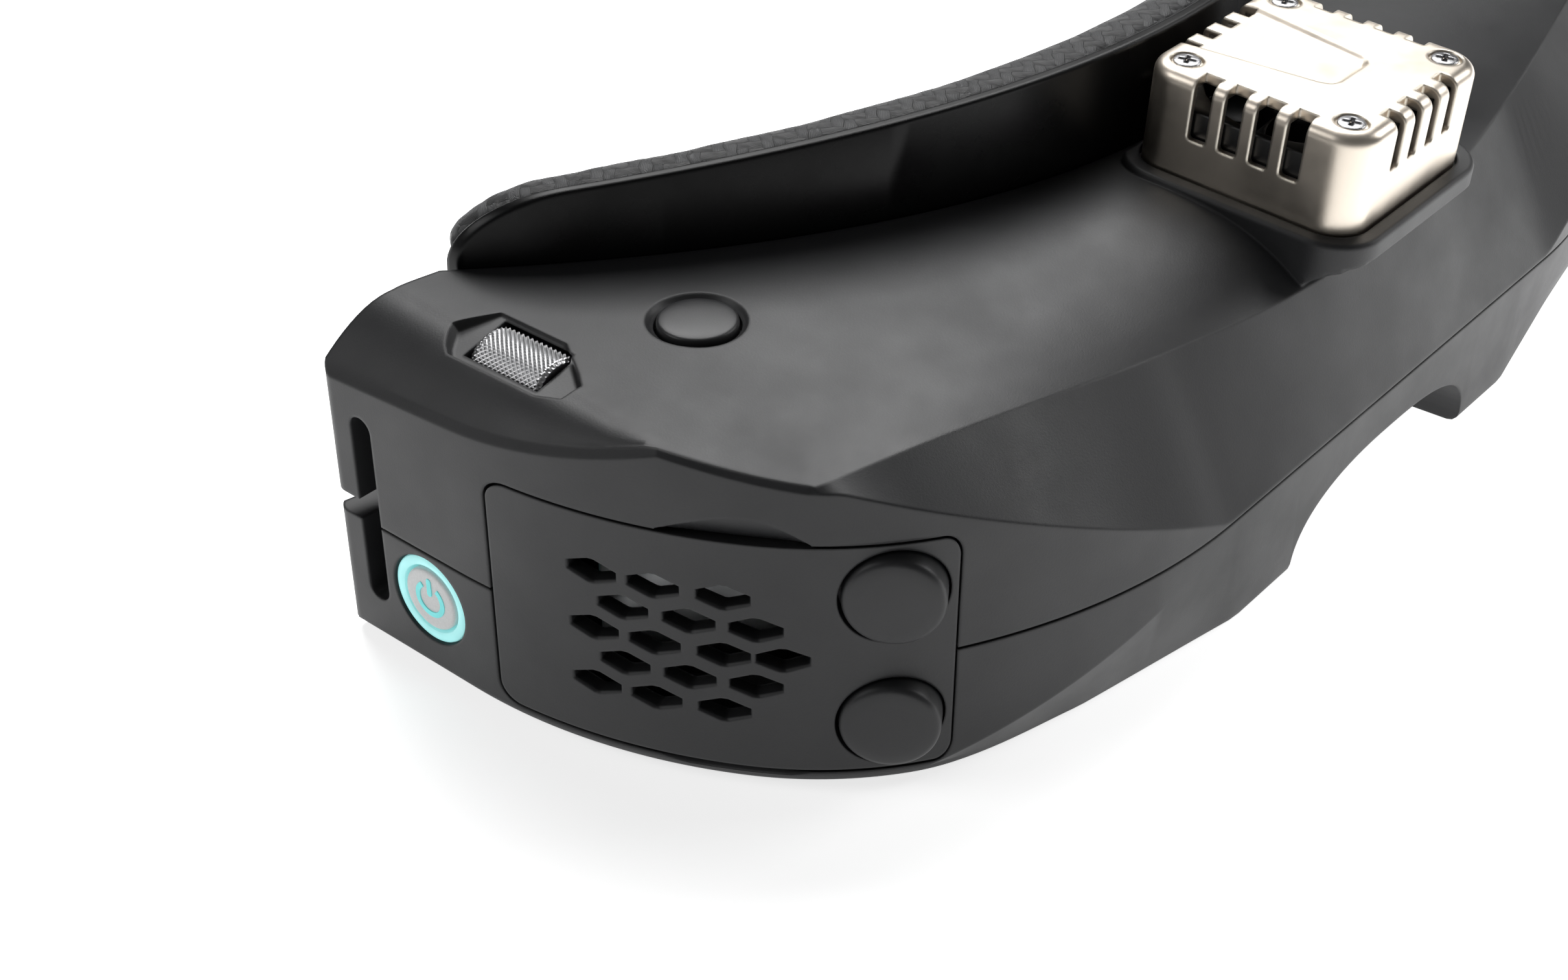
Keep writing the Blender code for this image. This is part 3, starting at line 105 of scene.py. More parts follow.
class Graph:
    """A small helper for one node material on object coordinates in millimetres."""

    def __init__(self, name, color, rough, metallic=0.0):
        self.material = bpy.data.materials.new(name)
        self.material.use_nodes = True
        self.nodes = self.material.node_tree.nodes
        self.links = self.material.node_tree.links
        self.shader = self.nodes["Principled BSDF"]
        self.color, self.rough = color, rough
        self.shader.inputs["Base Color"].default_value = (*color, 1)
        self.shader.inputs["Roughness"].default_value = rough
        self.shader.inputs["Metallic"].default_value = metallic
        self.place = self.nodes.new("ShaderNodeTexCoord").outputs["Object"]

    def node(self, kind, inputs=None, **settings):
        made = self.nodes.new(kind)
        for key, value in settings.items():
            setattr(made, key, value)
        for key, value in (inputs or {}).items():
            socket = made.inputs[key]
            if isinstance(value, bpy.types.NodeSocket):
                self.links.new(value, socket)
            else:
                socket.default_value = value
        return made

    def math(self, operation, *values):
        made = self.nodes.new("ShaderNodeMath")
        made.operation = operation
        for i, value in enumerate(values):
            if isinstance(value, bpy.types.NodeSocket):
                self.links.new(value, made.inputs[i])
            else:
                made.inputs[i].default_value = value
        return made.outputs[0]

    def noise(self, size_mm, detail=2.0, rough=0.5, vector=None):
        inputs = {"Vector": vector or self.place, "Scale": 1000.0 / size_mm}
        inputs |= {"Detail": detail, "Roughness": rough}
        return self.node("ShaderNodeTexNoise", inputs).outputs["Fac"]

    def span(self, value, low, high, to_low, to_high):
        inputs = {"Value": value, "From Min": low, "From Max": high, "To Min": to_low, "To Max": to_high}
        return self.node("ShaderNodeMapRange", inputs, clamp=True).outputs["Result"]

    def mix(self, share, one, two):
        made = self.nodes.new("ShaderNodeMix")
        made.data_type = "RGBA"
        for index, value in ((0, share), (6, one), (7, two)):
            if isinstance(value, bpy.types.NodeSocket):
                self.links.new(value, made.inputs[index])
            else:
                made.inputs[index].default_value = (*value, 1) if isinstance(value, tuple) else value
        return made.outputs[2]

    def edge(self, radius_mm):
        """Normal softened near edges, and how near an edge the point is."""
        soft = self.node("ShaderNodeBevel", {"Radius": radius_mm * MM}, samples=6).outputs["Normal"]
        sharp = self.nodes.new("ShaderNodeNewGeometry").outputs["Normal"]
        dot = self.node("ShaderNodeVectorMath", {0: soft, 1: sharp}, operation="DOT_PRODUCT").outputs["Value"]
        return soft, self.span(dot, 0.985, 0.8, 0.0, 1.0)

    def bump(self, height, depth_mm, strength=1.0, normal=None):
        inputs = {"Height": height, "Distance": depth_mm * MM, "Strength": strength}
        if normal is not None:
            inputs["Normal"] = normal
        return self.node("ShaderNodeBump", inputs).outputs["Normal"]

    def set(self, **sockets):
        for key, value in sockets.items():
            self.links.new(value, self.shader.inputs[key.replace("_", " ")])


def tinted(color, factor):
    return tuple(min(1.0, c * factor) for c in color)


def moulded(name, color, rough, grain=0.22, relief=0.012, edge=0.35, wear=0.25, coat=0.0, gloss=0.42):
    """Spark-eroded moulded plastic: fine grain, slow mottling, handling shine and slightly worn edges."""
    g = Graph(name, color, rough)
    soft, near = g.edge(edge)
    mottle = g.noise(26.0, 3.0)
    fine = g.noise(grain, 3.0, 0.6)
    base = g.mix(g.span(mottle, 0.3, 0.7, 0.0, 1.0), tinted(color, 0.90), tinted(color, 1.10))
    base = g.mix(g.span(fine, 0.35, 0.75, 0.0, 0.35), base, tinted(color, 1.35))
    worn = g.math("MULTIPLY", near, g.span(g.noise(3.5, 4.0), 0.35, 0.7, 0.0, wear))
    base = g.mix(worn, base, tinted(color, 2.4))
    shine = g.span(g.noise(11.0, 4.0, 0.6), 0.3, 0.7, rough - 0.05, rough + 0.06)
    g.set(Base_Color=base, Roughness=shine, Normal=g.bump(fine, relief, 1.0, soft))
    g.shader.inputs["Specular IOR Level"].default_value = gloss
    g.shader.inputs["Coat Weight"].default_value = coat
    g.shader.inputs["Coat Roughness"].default_value = 0.25
    return g.material


def metal(name, color, rough, brushed=None, flake=0.0, edge=0.3):
    """Metal with fine brushing or flake, faint smudges and a painted highlight along its edges."""
    g = Graph(name, color, rough, 1.0 if flake == 0 else 0.85)
    soft, near = g.edge(edge)
    smudge = g.noise(9.0, 4.0, 0.6)
    base = g.mix(g.span(smudge, 0.3, 0.7, 0.0, 1.0), tinted(color, 0.92), tinted(color, 1.06))
    # Painted highlight: the colour is lightened along every edge.
    base = g.mix(g.math("MULTIPLY", near, 0.35), base, tinted(color, 1.5))
    place = g.place
    if brushed:
        place = g.node("ShaderNodeMapping", {"Vector": g.place, "Scale": brushed}).outputs["Vector"]
    fine = g.noise(0.35, 2.0, 0.5, place)
    if flake:
        base = g.mix(g.span(g.noise(0.18, 1.0), 0.55, 0.75, 0.0, flake), base, tinted(color, 1.7))
    g.set(Base_Color=base, Roughness=g.span(smudge, 0.3, 0.7, rough - 0.05, rough + 0.08),
          Normal=g.bump(fine, 0.004, 1.0, soft))
    return g.material


def board(name, color):
    """Solder resist with faint copper tracks under it."""
    g = Graph(name, color, 0.35)
    tracks = g.node("ShaderNodeTexBrick", {"Vector": g.place, "Scale": 420.0, "Mortar Size": 0.03},
                    offset=0.37, squash=0.6).outputs["Fac"]
    base = g.mix(tracks, color, tinted(color, 2.2))
    base = g.mix(g.span(g.noise(6.0), 0.3, 0.7, 0.0, 0.3), base, tinted(color, 0.6))
    g.set(Base_Color=base, Normal=g.bump(tracks, 0.03))
    return g.material


def glowing(name, color, strength):
    """A diffuser lit from behind, a little uneven."""
    g = Graph(name, color, 0.35)
    base = g.mix(g.span(g.noise(2.2, 3.0), 0.3, 0.7, 0.0, 1.0), tinted(color, 0.86), color)
    g.set(Base_Color=base, Emission_Color=base, Normal=g.bump(g.noise(0.3), 0.004))
    g.shader.inputs["Emission Strength"].default_value = strength
    return g.material


def lens_glass(name):
    """Coated optical glass with the faintest dust."""
    g = Graph(name, (0.86, 0.90, 1.0), 0.03)
    g.shader.inputs["Transmission Weight"].default_value = 0.9
    g.shader.inputs["IOR"].default_value = 1.5
    dust = g.span(g.noise(1.4, 5.0, 0.7), 0.62, 0.8, 0.02, 0.12)
    tint = g.mix(g.span(g.noise(18.0), 0.3, 0.7, 0.0, 1.0), (0.80, 0.88, 1.0), (0.92, 0.86, 1.0))
    g.set(Base_Color=tint, Roughness=dust)
    return g.material


def woven(name, dark, light):
    """Twill of flat tows with fibres along each tow, and painted shade where the tows dip. It reads the
    piece's own UV, in millimetres.
    """
    g = Graph(name, dark, 0.5)
    uv = g.node("ShaderNodeUVMap", uv_map="weave").outputs["UV"]
    wander = g.node("ShaderNodeTexNoise", {"Vector": uv, "Scale": 0.35, "Detail": 1.0}).outputs["Color"]
    offset = g.node("ShaderNodeVectorMath", {0: wander, "Scale": 0.5}, operation="SCALE").outputs["Vector"]
    moved = g.node("ShaderNodeVectorMath", {0: uv, 1: offset}, operation="ADD").outputs["Vector"]
    turn = {"Vector": moved, "Rotation": (0, 0, math.radians(45)), "Scale": (1 / TOW, 1 / TOW, 1)}
    turned_uv = g.node("ShaderNodeMapping", turn)
    parts = g.node("ShaderNodeSeparateXYZ", {"Vector": turned_uv.outputs["Vector"]})
    u, v = parts.outputs["X"], parts.outputs["Y"]
    cell = g.math("ADD", g.math("FLOOR", u), g.math("FLOOR", v))
    over = g.math("LESS_THAN", g.math("FLOORED_MODULO", cell, 4.0), 1.5)
    under = g.math("SUBTRACT", 1.0, over)
    across = g.math("SINE", g.math("MULTIPLY", g.math("FRACT", u), math.pi))
    along = g.math("SINE", g.math("MULTIPLY", g.math("FRACT", v), math.pi))
    height = g.math("ADD", g.math("MULTIPLY", over, across), g.math("MULTIPLY", under, along))
    height = g.math("POWER", g.math("MAXIMUM", height, 0.0001), 0.45)
    fibre_u = g.math("SINE", g.math("MULTIPLY", u, 2 * math.pi * 9))
    fibre_v = g.math("SINE", g.math("MULTIPLY", v, 2 * math.pi * 9))
    fibre = g.math("ADD", g.math("MULTIPLY", over, fibre_u), g.math("MULTIPLY", under, fibre_v))
    relief = g.math("ADD", height, g.math("MULTIPLY", fibre, 0.08))
    base = g.mix(over, dark, light)
    # Painted shade: darker where the tows dip between each other.
    base = g.mix(g.span(height, 0.2, 0.9, 0.75, 0.0), base, tinted(dark, 0.35))
    base = g.mix(g.span(g.noise(14.0, 3.0), 0.3, 0.7, 0.0, 0.35), base, tinted(light, 1.3))
    rough = g.math("ADD", g.math("MULTIPLY", over, 0.12), g.span(fibre, -1.0, 1.0, 0.42, 0.52))
    g.set(Base_Color=base, Roughness=rough, Normal=g.bump(relief, 0.16))
    g.shader.inputs["Sheen Weight"].default_value = 0.05
    return g.material


HOUSING = moulded("housing_plastic", (0.0135, 0.0138, 0.0150), 0.44, edge=0.5)
PANEL = moulded("cover_plastic", (0.0135, 0.0138, 0.0150), 0.44)
PLATE_BLACK = moulded("face_plate_plastic", (0.0030, 0.0030, 0.0033), 0.28, grain=0.3, relief=0.004,
                      wear=0.8, edge=0.5, gloss=0.2)
CONTROL = moulded("control_plastic", (0.0135, 0.0138, 0.0150), 0.40, grain=0.18, edge=0.2)
CAP = moulded("cap_rubber", (0.014, 0.0143, 0.0155), 0.46, grain=0.15, relief=0.008)
FAN_BLACK = moulded("fan_plastic", (0.006, 0.006, 0.0065), 0.34, relief=0.004)
COMPONENT = moulded("component_plastic", (0.008, 0.008, 0.0085), 0.45)
POWER_GREY = moulded("power_plastic", (0.60, 0.61, 0.61), 0.40, grain=0.2, relief=0.004, wear=0.0)
COVER_METAL = metal("fan_cover_metal", (0.76, 0.685, 0.59), 0.34, edge=0.5)
STEEL = metal("screw_steel", (0.52, 0.52, 0.53), 0.26)
DARK_STEEL = metal("dark_screw", (0.06, 0.06, 0.062), 0.35)
WHEEL_METAL = metal("wheel_metal", (0.62, 0.62, 0.63), 0.30, brushed=(1, 14, 1), edge=0.08)
AXLE_STEEL = metal("axle_steel", (0.5, 0.5, 0.51), 0.28, brushed=(0.1, 1, 1))
SHELL_STEEL = metal("connector_steel", (0.56, 0.57, 0.58), 0.32, brushed=(1, 1, 8))
BRASS = metal("connector_brass", (0.83, 0.62, 0.27), 0.25)
BOARD = board("board_laminate", (0.012, 0.07, 0.035))
GLASS = lens_glass("lens_glass")
SCREEN = moulded("display_glass", (0.008, 0.008, 0.013), 0.12, relief=0.0, coat=0.6, wear=0.0)
CYAN = glowing("light_ring", (0.36, 0.80, 0.80), 0.40)
SYMBOL = glowing("power_symbol", (0.16, 0.72, 0.72), 0.25)
WEAVE = woven("pad_textile", (0.0045, 0.0045, 0.005), (0.034, 0.035, 0.037))


# --- mesh building ---


def raw(name, points, faces):
    mesh = bpy.data.meshes.new(name)
    mesh.from_pydata([world(p) for p in points], [], faces)
    edit = bmesh.new()
    edit.from_mesh(mesh)
    bmesh.ops.recalc_face_normals(edit, faces=edit.faces)
    edit.to_mesh(mesh)
    edit.free()
    obj = bpy.data.objects.new(name, mesh)
    bpy.context.scene.collection.objects.link(obj)
    return obj


def evaluated(obj):
    graph = bpy.context.evaluated_depsgraph_get()
    return bpy.data.meshes.new_from_object(obj.evaluated_get(graph))


def settle(obj):
    """Applies the modifiers."""
    mesh = evaluated(obj)
    obj.modifiers.clear()
    obj.data = mesh


def carve(target, operation, *shapes):
    """Cuts or adds shapes that don't touch each other."""
    cutter = raw("cutter", *joined(shapes))
    before = len(target.data.polygons)
    for solver in ("MANIFOLD", "EXACT"):
        modifier = target.modifiers.new("carve", "BOOLEAN")
        modifier.operation = operation
        modifier.solver = solver
        modifier.object = cutter
        mesh = evaluated(target)
        target.modifiers.clear()
        if len(mesh.polygons) > before * 0.2:
            target.data = mesh
            break
    bpy.data.objects.remove(cutter)


def cut(target, *shapes):
    carve(target, "DIFFERENCE", *shapes)


def weld(target, *shapes):
    carve(target, "UNION", *shapes)


def dress(obj, body, material, nodes=(), sharp=14.0):
    """Finish, smooth shading and the CAD body that the piece rides on."""
    mesh = obj.data
    mesh.materials.clear()
    mesh.materials.append(material)
    mesh.shade_smooth()
    mesh.set_sharp_from_angle(angle=math.radians(sharp))
    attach(obj, body)
    if nodes:
        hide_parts(*nodes)
    return obj


def refined(node, body, material, width=0.12, sharp=35.0):
    """The CAD piece again with rounded edges and smooth shading."""
    mesh = frame["nodes"][node].data.copy()
    obj = bpy.data.objects.new(node + "_fine", mesh)
    bpy.context.scene.collection.objects.link(obj)
    edit = bmesh.new()
    edit.from_mesh(mesh)
    bmesh.ops.remove_doubles(edit, verts=edit.verts, dist=2e-7)
    bmesh.ops.dissolve_limit(edit, angle_limit=math.radians(0.5), verts=edit.verts, edges=edit.edges)
    edit.to_mesh(mesh)
    edit.free()
    bevel = obj.modifiers.new("round", "BEVEL")
    bevel.width = width * MM
    bevel.segments = 2
    bevel.limit_method = "ANGLE"
    bevel.angle_limit = math.radians(30)
    bevel.use_clamp_overlap = True
    settle(obj)
    return dress(obj, body, material, (node,), sharp)


def loft(rings, closed=False):
    count = len(rings[0])
    points = [p for ring in rings for p in ring]
    faces = []
    if not closed:
        faces += [list(range(count)), list(range(len(points) - count, len(points)))]
    last = len(rings) if closed else len(rings) - 1
    for r in range(last):
        start, after = r * count, (r + 1) % len(rings) * count
        for i in range(count):
            j = (i + 1) % count
            faces.append([start + i, start + j, after + j, after + i])
    return points, faces


def prism(outline, low, high, place):
    return loft([[place(a, b, c) for a, b in outline] for c in (low, high)])


def along_y(x, z, y):
    return (x, y, z)


def along_z(x, y, z):
    return (x, y, z)


def box(x, y, z):
    return prism([(x[0], y[0]), (x[1], y[0]), (x[1], y[1]), (x[0], y[1])], z[0], z[1], along_z)


def around(center, size):
    return (center - size / 2, center + size / 2)


def rounded(half_x, half_y, radius, steps=10):
    outline = []
    for turn, (sx, sy) in enumerate(((1, 1), (-1, 1), (-1, -1), (1, -1))):
        for i in range(steps + 1):
            angle = math.radians(90 * (turn + i / steps))
            outline.append((sx * (half_x - radius) + radius * math.cos(angle),
                            sy * (half_y - radius) + radius * math.sin(angle)))
    return outline


def shifted(outline, a, b):
    return [(x + a, y + b) for x, y in outline]


def polar(radius, degrees):
    return radius * math.cos(math.radians(degrees)), radius * math.sin(math.radians(degrees))


def turned(profile, place, count=64):
    points, rows = [], []
    for radius, depth in profile:
        if radius == 0:
            rows.append([len(points)] * count)
            points.append(place(0, 0, depth))
            continue
        rows.append(list(range(len(points), len(points) + count)))
        for i in range(count):
            angle = 2 * math.pi * i / count
            points.append(place(radius * math.cos(angle), radius * math.sin(angle), depth))
    faces = []
    pairs = list(zip(rows, rows[1:]))
    if profile[0][0] and profile[-1][0]:
        pairs.append((rows[-1], rows[0]))
    for one, two in pairs:
        for i in range(count):
            j = (i + 1) % count
            face = [one[i], one[j], two[j], two[i]]
            kept = [index for k, index in enumerate(face) if index not in face[:k]]
            if len(kept) > 2:
                faces.append(kept)
    return points, faces


def disc(radius, low, high, place, count=48):
    return turned([(0, low), (radius, low), (radius, high), (0, high)], place, count)


def at(center, axis="z"):
    def place(a, b, c):
        if axis == "x":
            return (center[0] + c, center[1] + a, center[2] + b)
        if axis == "y":
            return (center[0] + a, center[1] + c, center[2] + b)
        return (center[0] + a, center[1] + b, center[2] + c)
    return place


def joined(shapes):
    points, faces = [], []
    for more_points, more_faces in shapes:
        start = len(points)
        points = points + list(more_points)
        faces = faces + [[start + i for i in face] for face in more_faces]
    return points, faces


def mirrored(shape, side):
    return [(side * x, y, z) for x, y, z in shape[0]], shape[1]


def both(shape):
    return [mirrored(shape, side) for side in (-1, 1)]


# --- surfaces of the housing ---


def arc_run(turn, inset=0.0):
    """How far across and back the wall's arcs reach once they have turned this far."""
    x, y, start = 0.0, 0.0, 0.0
    for radius, end in WALL_ARCS:
        stop = min(turn, end)
        if stop > start:
            one, two = math.radians(start), math.radians(stop)
            x += (radius - inset) * (math.sin(two) - math.sin(one))
            y += (radius - inset) * (math.cos(one) - math.cos(two))
        start = end
    return x, y


CORNER_X, CORNER_Y = arc_run(90.0)
FRONT_FLAT = HALF_WIDTH - CORNER_X
TIP_X, TIP_Y = HALF_WIDTH - 12.1, 18.6
ARM_BACK = CORNER_Y + ARM_STRAIGHT
SLOT_Y = 65.6
POCKET_LOW, POCKET_HIGH = SEAM_Z - 9.8, SEAM_Z + 12.8


def wall_point(turn, inset=0.0):
    """Plan point of the side wall where it has turned this far from straight across."""
    x, y = arc_run(turn, inset)
    return FRONT_FLAT + x, inset + y


def wall_length(turn):
    length, start = FRONT_FLAT, 0.0
    for radius, end in WALL_ARCS:
        length += radius * math.radians(max(0.0, min(turn, end) - start))
        start = end
    return length


def wall_stations(flats=20, turns=72, straights=10):
    stations = [("flat", FRONT_FLAT * i / flats) for i in range(flats)]
    stations += [("arc", 90 * i / turns) for i in range(turns + 1)]
    return stations + [("straight", ARM_STRAIGHT * (i + 1) / straights) for i in range(straights)]


def plan(station, inset):
    kind, value = station
    whole = wall_length(90) + ARM_STRAIGHT
    if kind == "flat":
        return value, inset, value / whole
    if kind == "arc":
        return *wall_point(value, inset), wall_length(value) / whole
    return HALF_WIDTH - inset, CORNER_Y + value, (whole - ARM_STRAIGHT + value) / whole


def smooth(low, high, value):
    t = min(1.0, max(0.0, (value - low) / (high - low)))
    return t * t * (3 - 2 * t)


def pod_z(x, y):
    return SEAM_Z + 17.2 + POD_SLOPE * (HALF_WIDTH - x) - POD_FALL * (y - 62.0)


def side_z(x, y):
    return min(SEAM_Z + 20.0 + 0.197 * (y - TIP_Y), pod_z(x, y))


def brow(x):
    y = 4.8 + 13.8 * min(1.0, x / TIP_X) ** 1.5
    return y, SEAM_Z + 16.3 + 3.7 * smooth(TIP_X - 65, TIP_X - 5, x)


POD_CREASE_Z = DECK_Z + 0.2
DECK_STEPS = [1 - (1 - i / 16) ** 1.25 for i in range(1, 17)]
CREASE_STEPS = (-1.6, -1.0, -0.5, 0.0, 0.5, 1.0, 1.6)
POD_STEPS = [i / 8 for i in range(8)]
POD_BOW = 1.3


def lower_of(one, two, round_off=0.4):
    """The lower of two heights, blended where they cross."""
    return (one + two) / 2 - math.hypot((one - two) / 2, round_off)


def upper_ring(station, inset, low_z, back):
    x, y, share = plan(station, inset)
    outer_x, outer_y, _ = plan(station, 0.0)
    back_x = FACE_HALF * share
    power = 2.0 + 1.5 * (1 - smooth(12, 45, outer_x))
    end = Vector((back_x, face_y(back_x) + back(back_x), DECK_Z - inset))
    if outer_x < TIP_X and outer_y < TIP_Y:
        edge_y, edge_z = brow(outer_x)
        crease_z = SEAM_Z + max(0.3, 0.45 * (outer_x - FRONT_FLAT))
        edge = Vector((x, max(edge_y + inset, y + EDGE), edge_z - inset))
        crease = (x, y, min(crease_z, edge.z - EDGE))
        start_z = edge.z
    else:
        top = side_z(outer_x, outer_y) - inset
        toward = Vector((back_x - x, face_y(back_x) - y)).normalized() * EDGE
        edge = Vector((x + toward.x, y + toward.y, top))
        crease = (x, y, top - EDGE)
        start_z = min(POD_CREASE_Z, SEAM_Z + 20.0 + 0.197 * (outer_y - TIP_Y)) - inset
    run = (end - edge).length
    pod_edge, pod_end = (pod_z(p.x, p.y) - inset for p in (edge, end))
    middle = 2.4 / run
    if pod_edge < start_z:
        middle = max(middle, (start_z - pod_edge) / (pod_end - pod_edge))
    bow = min(POD_BOW, 0.1 * middle * run) * smooth(TIP_Y, TIP_Y + 14, outer_y)
    steps = [t * (middle - 1.6 / run) for t in POD_STEPS] + [middle + step / run for step in CREASE_STEPS]
    steps += [steps[-1] + (1 - steps[-1]) * t for t in DECK_STEPS]
    ring = [(x, y, low_z), crease]
    for s in steps:
        deck = start_z + (end.z - start_z) * (1 - max(0.0, 1 - s) ** power)
        t = min(1.0, s / middle)
        pod_line = pod_edge + (pod_end - pod_edge) * s + bow * 4 * t * (1 - t)
        z = min(pod_line, deck) if s in (0.0, 1.0) else lower_of(pod_line, deck)
        ring.append((edge.x + (end.x - edge.x) * s, edge.y + (end.y - edge.y) * s, z))
    ring.append((end.x, end.y, low_z))
    return ring


def lower_ring(station, inset, high_z, back):
    x, y, share = plan(station, inset)
    outer_x, outer_y, _ = plan(station, 0.0)
    back_x = FACE_HALF * share
    chin_end = HALF_WIDTH - 37.0
    setback = 0.5 + 0.2 * max(0.0, outer_x - 31.0) - outer_y
    if outer_x > chin_end:
        radius, reach = WALL_ARCS[0][0], chin_end - FRONT_FLAT
        full = 0.5 + 0.2 * (chin_end - 31.0) - (radius - math.sqrt(radius * radius - reach * reach))
        setback = full + (EDGE - full) * smooth(chin_end, chin_end + 18, outer_x)
    setback = max(EDGE, setback)
    turn_z = max(SEAM_Z - max(0.6, 0.36 * (outer_x - FRONT_FLAT + 3)), 1.8 + inset)
    end = (back_x, face_y(back_x) + back(back_x))
    toward = Vector((end[0] - x, end[1] - y)).normalized()
    chin = (x + toward.x * setback, y + toward.y * setback, 1.4 + inset)
    ring = [(x, y, high_z), (x, y, turn_z), chin]
    for turn in (30, 60, 90):
        angle = math.radians(turn)
        run, drop = 1.4 * (1 - math.cos(angle)), 1.4 * math.sin(angle)
        ring.append((chin[0] + toward.x * run, chin[1] + toward.y * run, chin[2] - drop))
    return ring + [(end[0], end[1], inset), (end[0], end[1], high_z)]


def shell_solid(ring, inset, seam_z, back, stations):
    half = [ring(s, inset, seam_z, back) for s in stations]
    other = [[(-x, y, z) for x, y, z in section] for section in reversed(half[1:])]
    return loft(other + half)


def hollow(stations):
    return [s for s in stations if s[0] != "straight"] + [("straight", SLOT_Y - SHELL - CORNER_Y)]


def cavity_back(x):
    return SHELL * 1.5 if x < 58.0 else -SHELL


def wall_band(turns, section, count):
    """A curved slab along the wall. section(share) gives (inset, z) corners."""
    rings = []
    for i in range(count + 1):
        share = i / count
        turn = turns[0] + (turns[1] - turns[0]) * share
        rings.append([(*wall_point(turn, inset), z) for inset, z in section(share)])
    return loft(rings)


def panel_band(gap, inset, outset):
    length = wall_length(BAY_TURNS[1]) - wall_length(BAY_TURNS[0])
    trim, corner = gap / length, BAY_CORNER - gap
    ends = [corner * (1 - math.cos(math.radians(10 * i))) / length for i in range(10)]
    shares = [trim + e for e in ends] + [i / 40 for i in range(3, 38)]
    shares += [1 - trim - e for e in reversed(ends)]
    rings = []
    for share in shares:
        turn = BAY_TURNS[0] + (BAY_TURNS[1] - BAY_TURNS[0]) * share
        inner, outer = wall_point(turn, inset), wall_point(turn, -outset)
        reach = min(corner, max(0.0, corner - (min(share, 1 - share) - trim) * length))
        half = BAY_HALF_HEIGHT - gap - corner + math.sqrt(corner * corner - reach * reach)
        low, high = SEAM_Z - half, SEAM_Z + half
        rings.append([(*inner, low), (*outer, low), (*outer, high), (*inner, high)])
    return loft(rings)


def nose_arch(half, rise, y, steps=40, grow=0.0):
    outline = []
    for i in range(steps + 1):
        angle = math.pi * i / steps
        c, s = math.cos(angle), math.sin(angle)
        outline.append((math.copysign(abs(c) ** (2 / NOSE_POWER), c) * (half + grow), y,
                        abs(s) ** (2 / NOSE_POWER) * (rise + grow)))
    return outline + [(-half - grow, y, -1.0), (half + grow, y, -1.0)]


BAY_TURN = math.radians(53.0)
BAY_OUT = Vector((math.sin(BAY_TURN), -math.cos(BAY_TURN)))
BAY_ALONG = Vector((math.cos(BAY_TURN), math.sin(BAY_TURN)))


def bay(side, along=0.0, z=SEAM_Z):
    base = Vector(wall_point(39.8)) + BAY_ALONG * along

    def place(a, b, c):
        point = base + BAY_ALONG * a + BAY_OUT * c
        return (side * point.x, point.y, z + b)
    return place


def fan(a, b, c):
    cos, sin = math.cos(FAN_TILT), math.sin(FAN_TILT)
    return (a, FAN_Y + b * cos - c * sin, FAN_Z + b * sin + c * cos)


def fan_at(x, y):
    return lambda a, b, c: fan(x + a, y + b, c)


DISH_TURN = math.radians(12.0)
DISH_NORMAL = Vector((math.sin(DISH_TURN), 0.0, math.cos(DISH_TURN)))
DISH_DOWN = Vector((math.cos(DISH_TURN), 0.0, -math.sin(DISH_TURN)))
DISH_MIDDLE = Vector((HALF_WIDTH - 9.1, 52.7, DECK_Z - 1.0))
WHEEL_DEEP = DISH_MIDDLE - DISH_NORMAL * 2.6
JOG = (-WHEEL_DEEP.x, WHEEL_DEEP.y, WHEEL_DEEP.z)
WHEEL_RADIUS, WHEEL_LENGTH = 3.6, 9.4


def dish(a, b, c):
    point = DISH_MIDDLE + DISH_DOWN * b + DISH_NORMAL * c
    return (-point.x, point.y + a, point.z)


def dish_outline(grow):
    """The wheel's dish, an uneven octagon: cut back far at the corners beside the deck."""
    back, front, inner, outer = 8.9 + grow, 9.5 + grow, 3.8 + grow / 2, 4.3 + grow / 2
    outline = [(back, 0.7), (back - 1.5, outer - 0.9), (back - 2.5, outer), (3.0 - front, outer)]
    return outline + [(0.4 - front, outer - 0.9), (-front, 0.9), (5.8 - front, -inner), (back - 2.1, -inner)]


BOSSES = ((53.5, 17.0), (70.0, 54.0))
SCREWS = ((-10.1, -9.9), (10.1, -9.9), (10.1, 9.9), (-10.1, 9.9))
MENU = (-68.7, 43.2, 38.538)
POWER = (-HALF_WIDTH, 59.2, SEAM_Z - 6.0)


# --- shells ---


def arm_pocket(low, high):
    """The strap's pocket in the back of an arm, between two heights."""
    bar_x = HALF_WIDTH - 5.0
    low, high = max(low, POCKET_LOW), min(high, POCKET_HIGH)
    return box((bar_x - 7.2, bar_x), (SLOT_Y, ARM_BACK + 2), (low, high))


def slot_cut():
    """The strap's slot through the side wall, with round ends."""
    outline = rounded(1.5, (POCKET_HIGH - POCKET_LOW) / 2, 1.49, 8)
    outline = shifted(outline, SLOT_Y + 1.5, (POCKET_LOW + POCKET_HIGH) / 2)
    return prism(outline, HALF_WIDTH - 6.0, HALF_WIDTH + 2, lambda a, b, c: (c, a, b))


def end_round():
    """What leaves a rounded upright edge at the back of the arm."""
    radius = 1.8
    x, y = HALF_WIDTH - radius, ARM_BACK - radius
    outline = [(x, ARM_BACK + 1), (HALF_WIDTH + 1, ARM_BACK + 1), (HALF_WIDTH + 1, y)]
    outline += shifted([polar(radius, t) for t in range(0, 91, 10)], x, y)
    return prism(outline, -1, DECK_Z + 2, along_z)


def boss_places():
    """The four screw bosses, the right side's two first."""
    return [at((side * x, y, 0)) for side in (-1, 1) for x, y in BOSSES]


def scoop(sign):
    """A finger notch that deepens towards the panel's edge."""
    edge_z = SEAM_Z + sign * (BAY_HALF_HEIGHT - 0.6)

    def section(share):
        rise = 0.7 + (2.6 if sign > 0 else 0.9) * math.sin(math.pi * share)
        far_z = edge_z + sign * rise
        return [(1.25, edge_z), (-1.5, edge_z), (-1.5, far_z + sign * 0.8), (-0.02, far_z)]
    return wall_band((51.0, 68.0), section, 24)


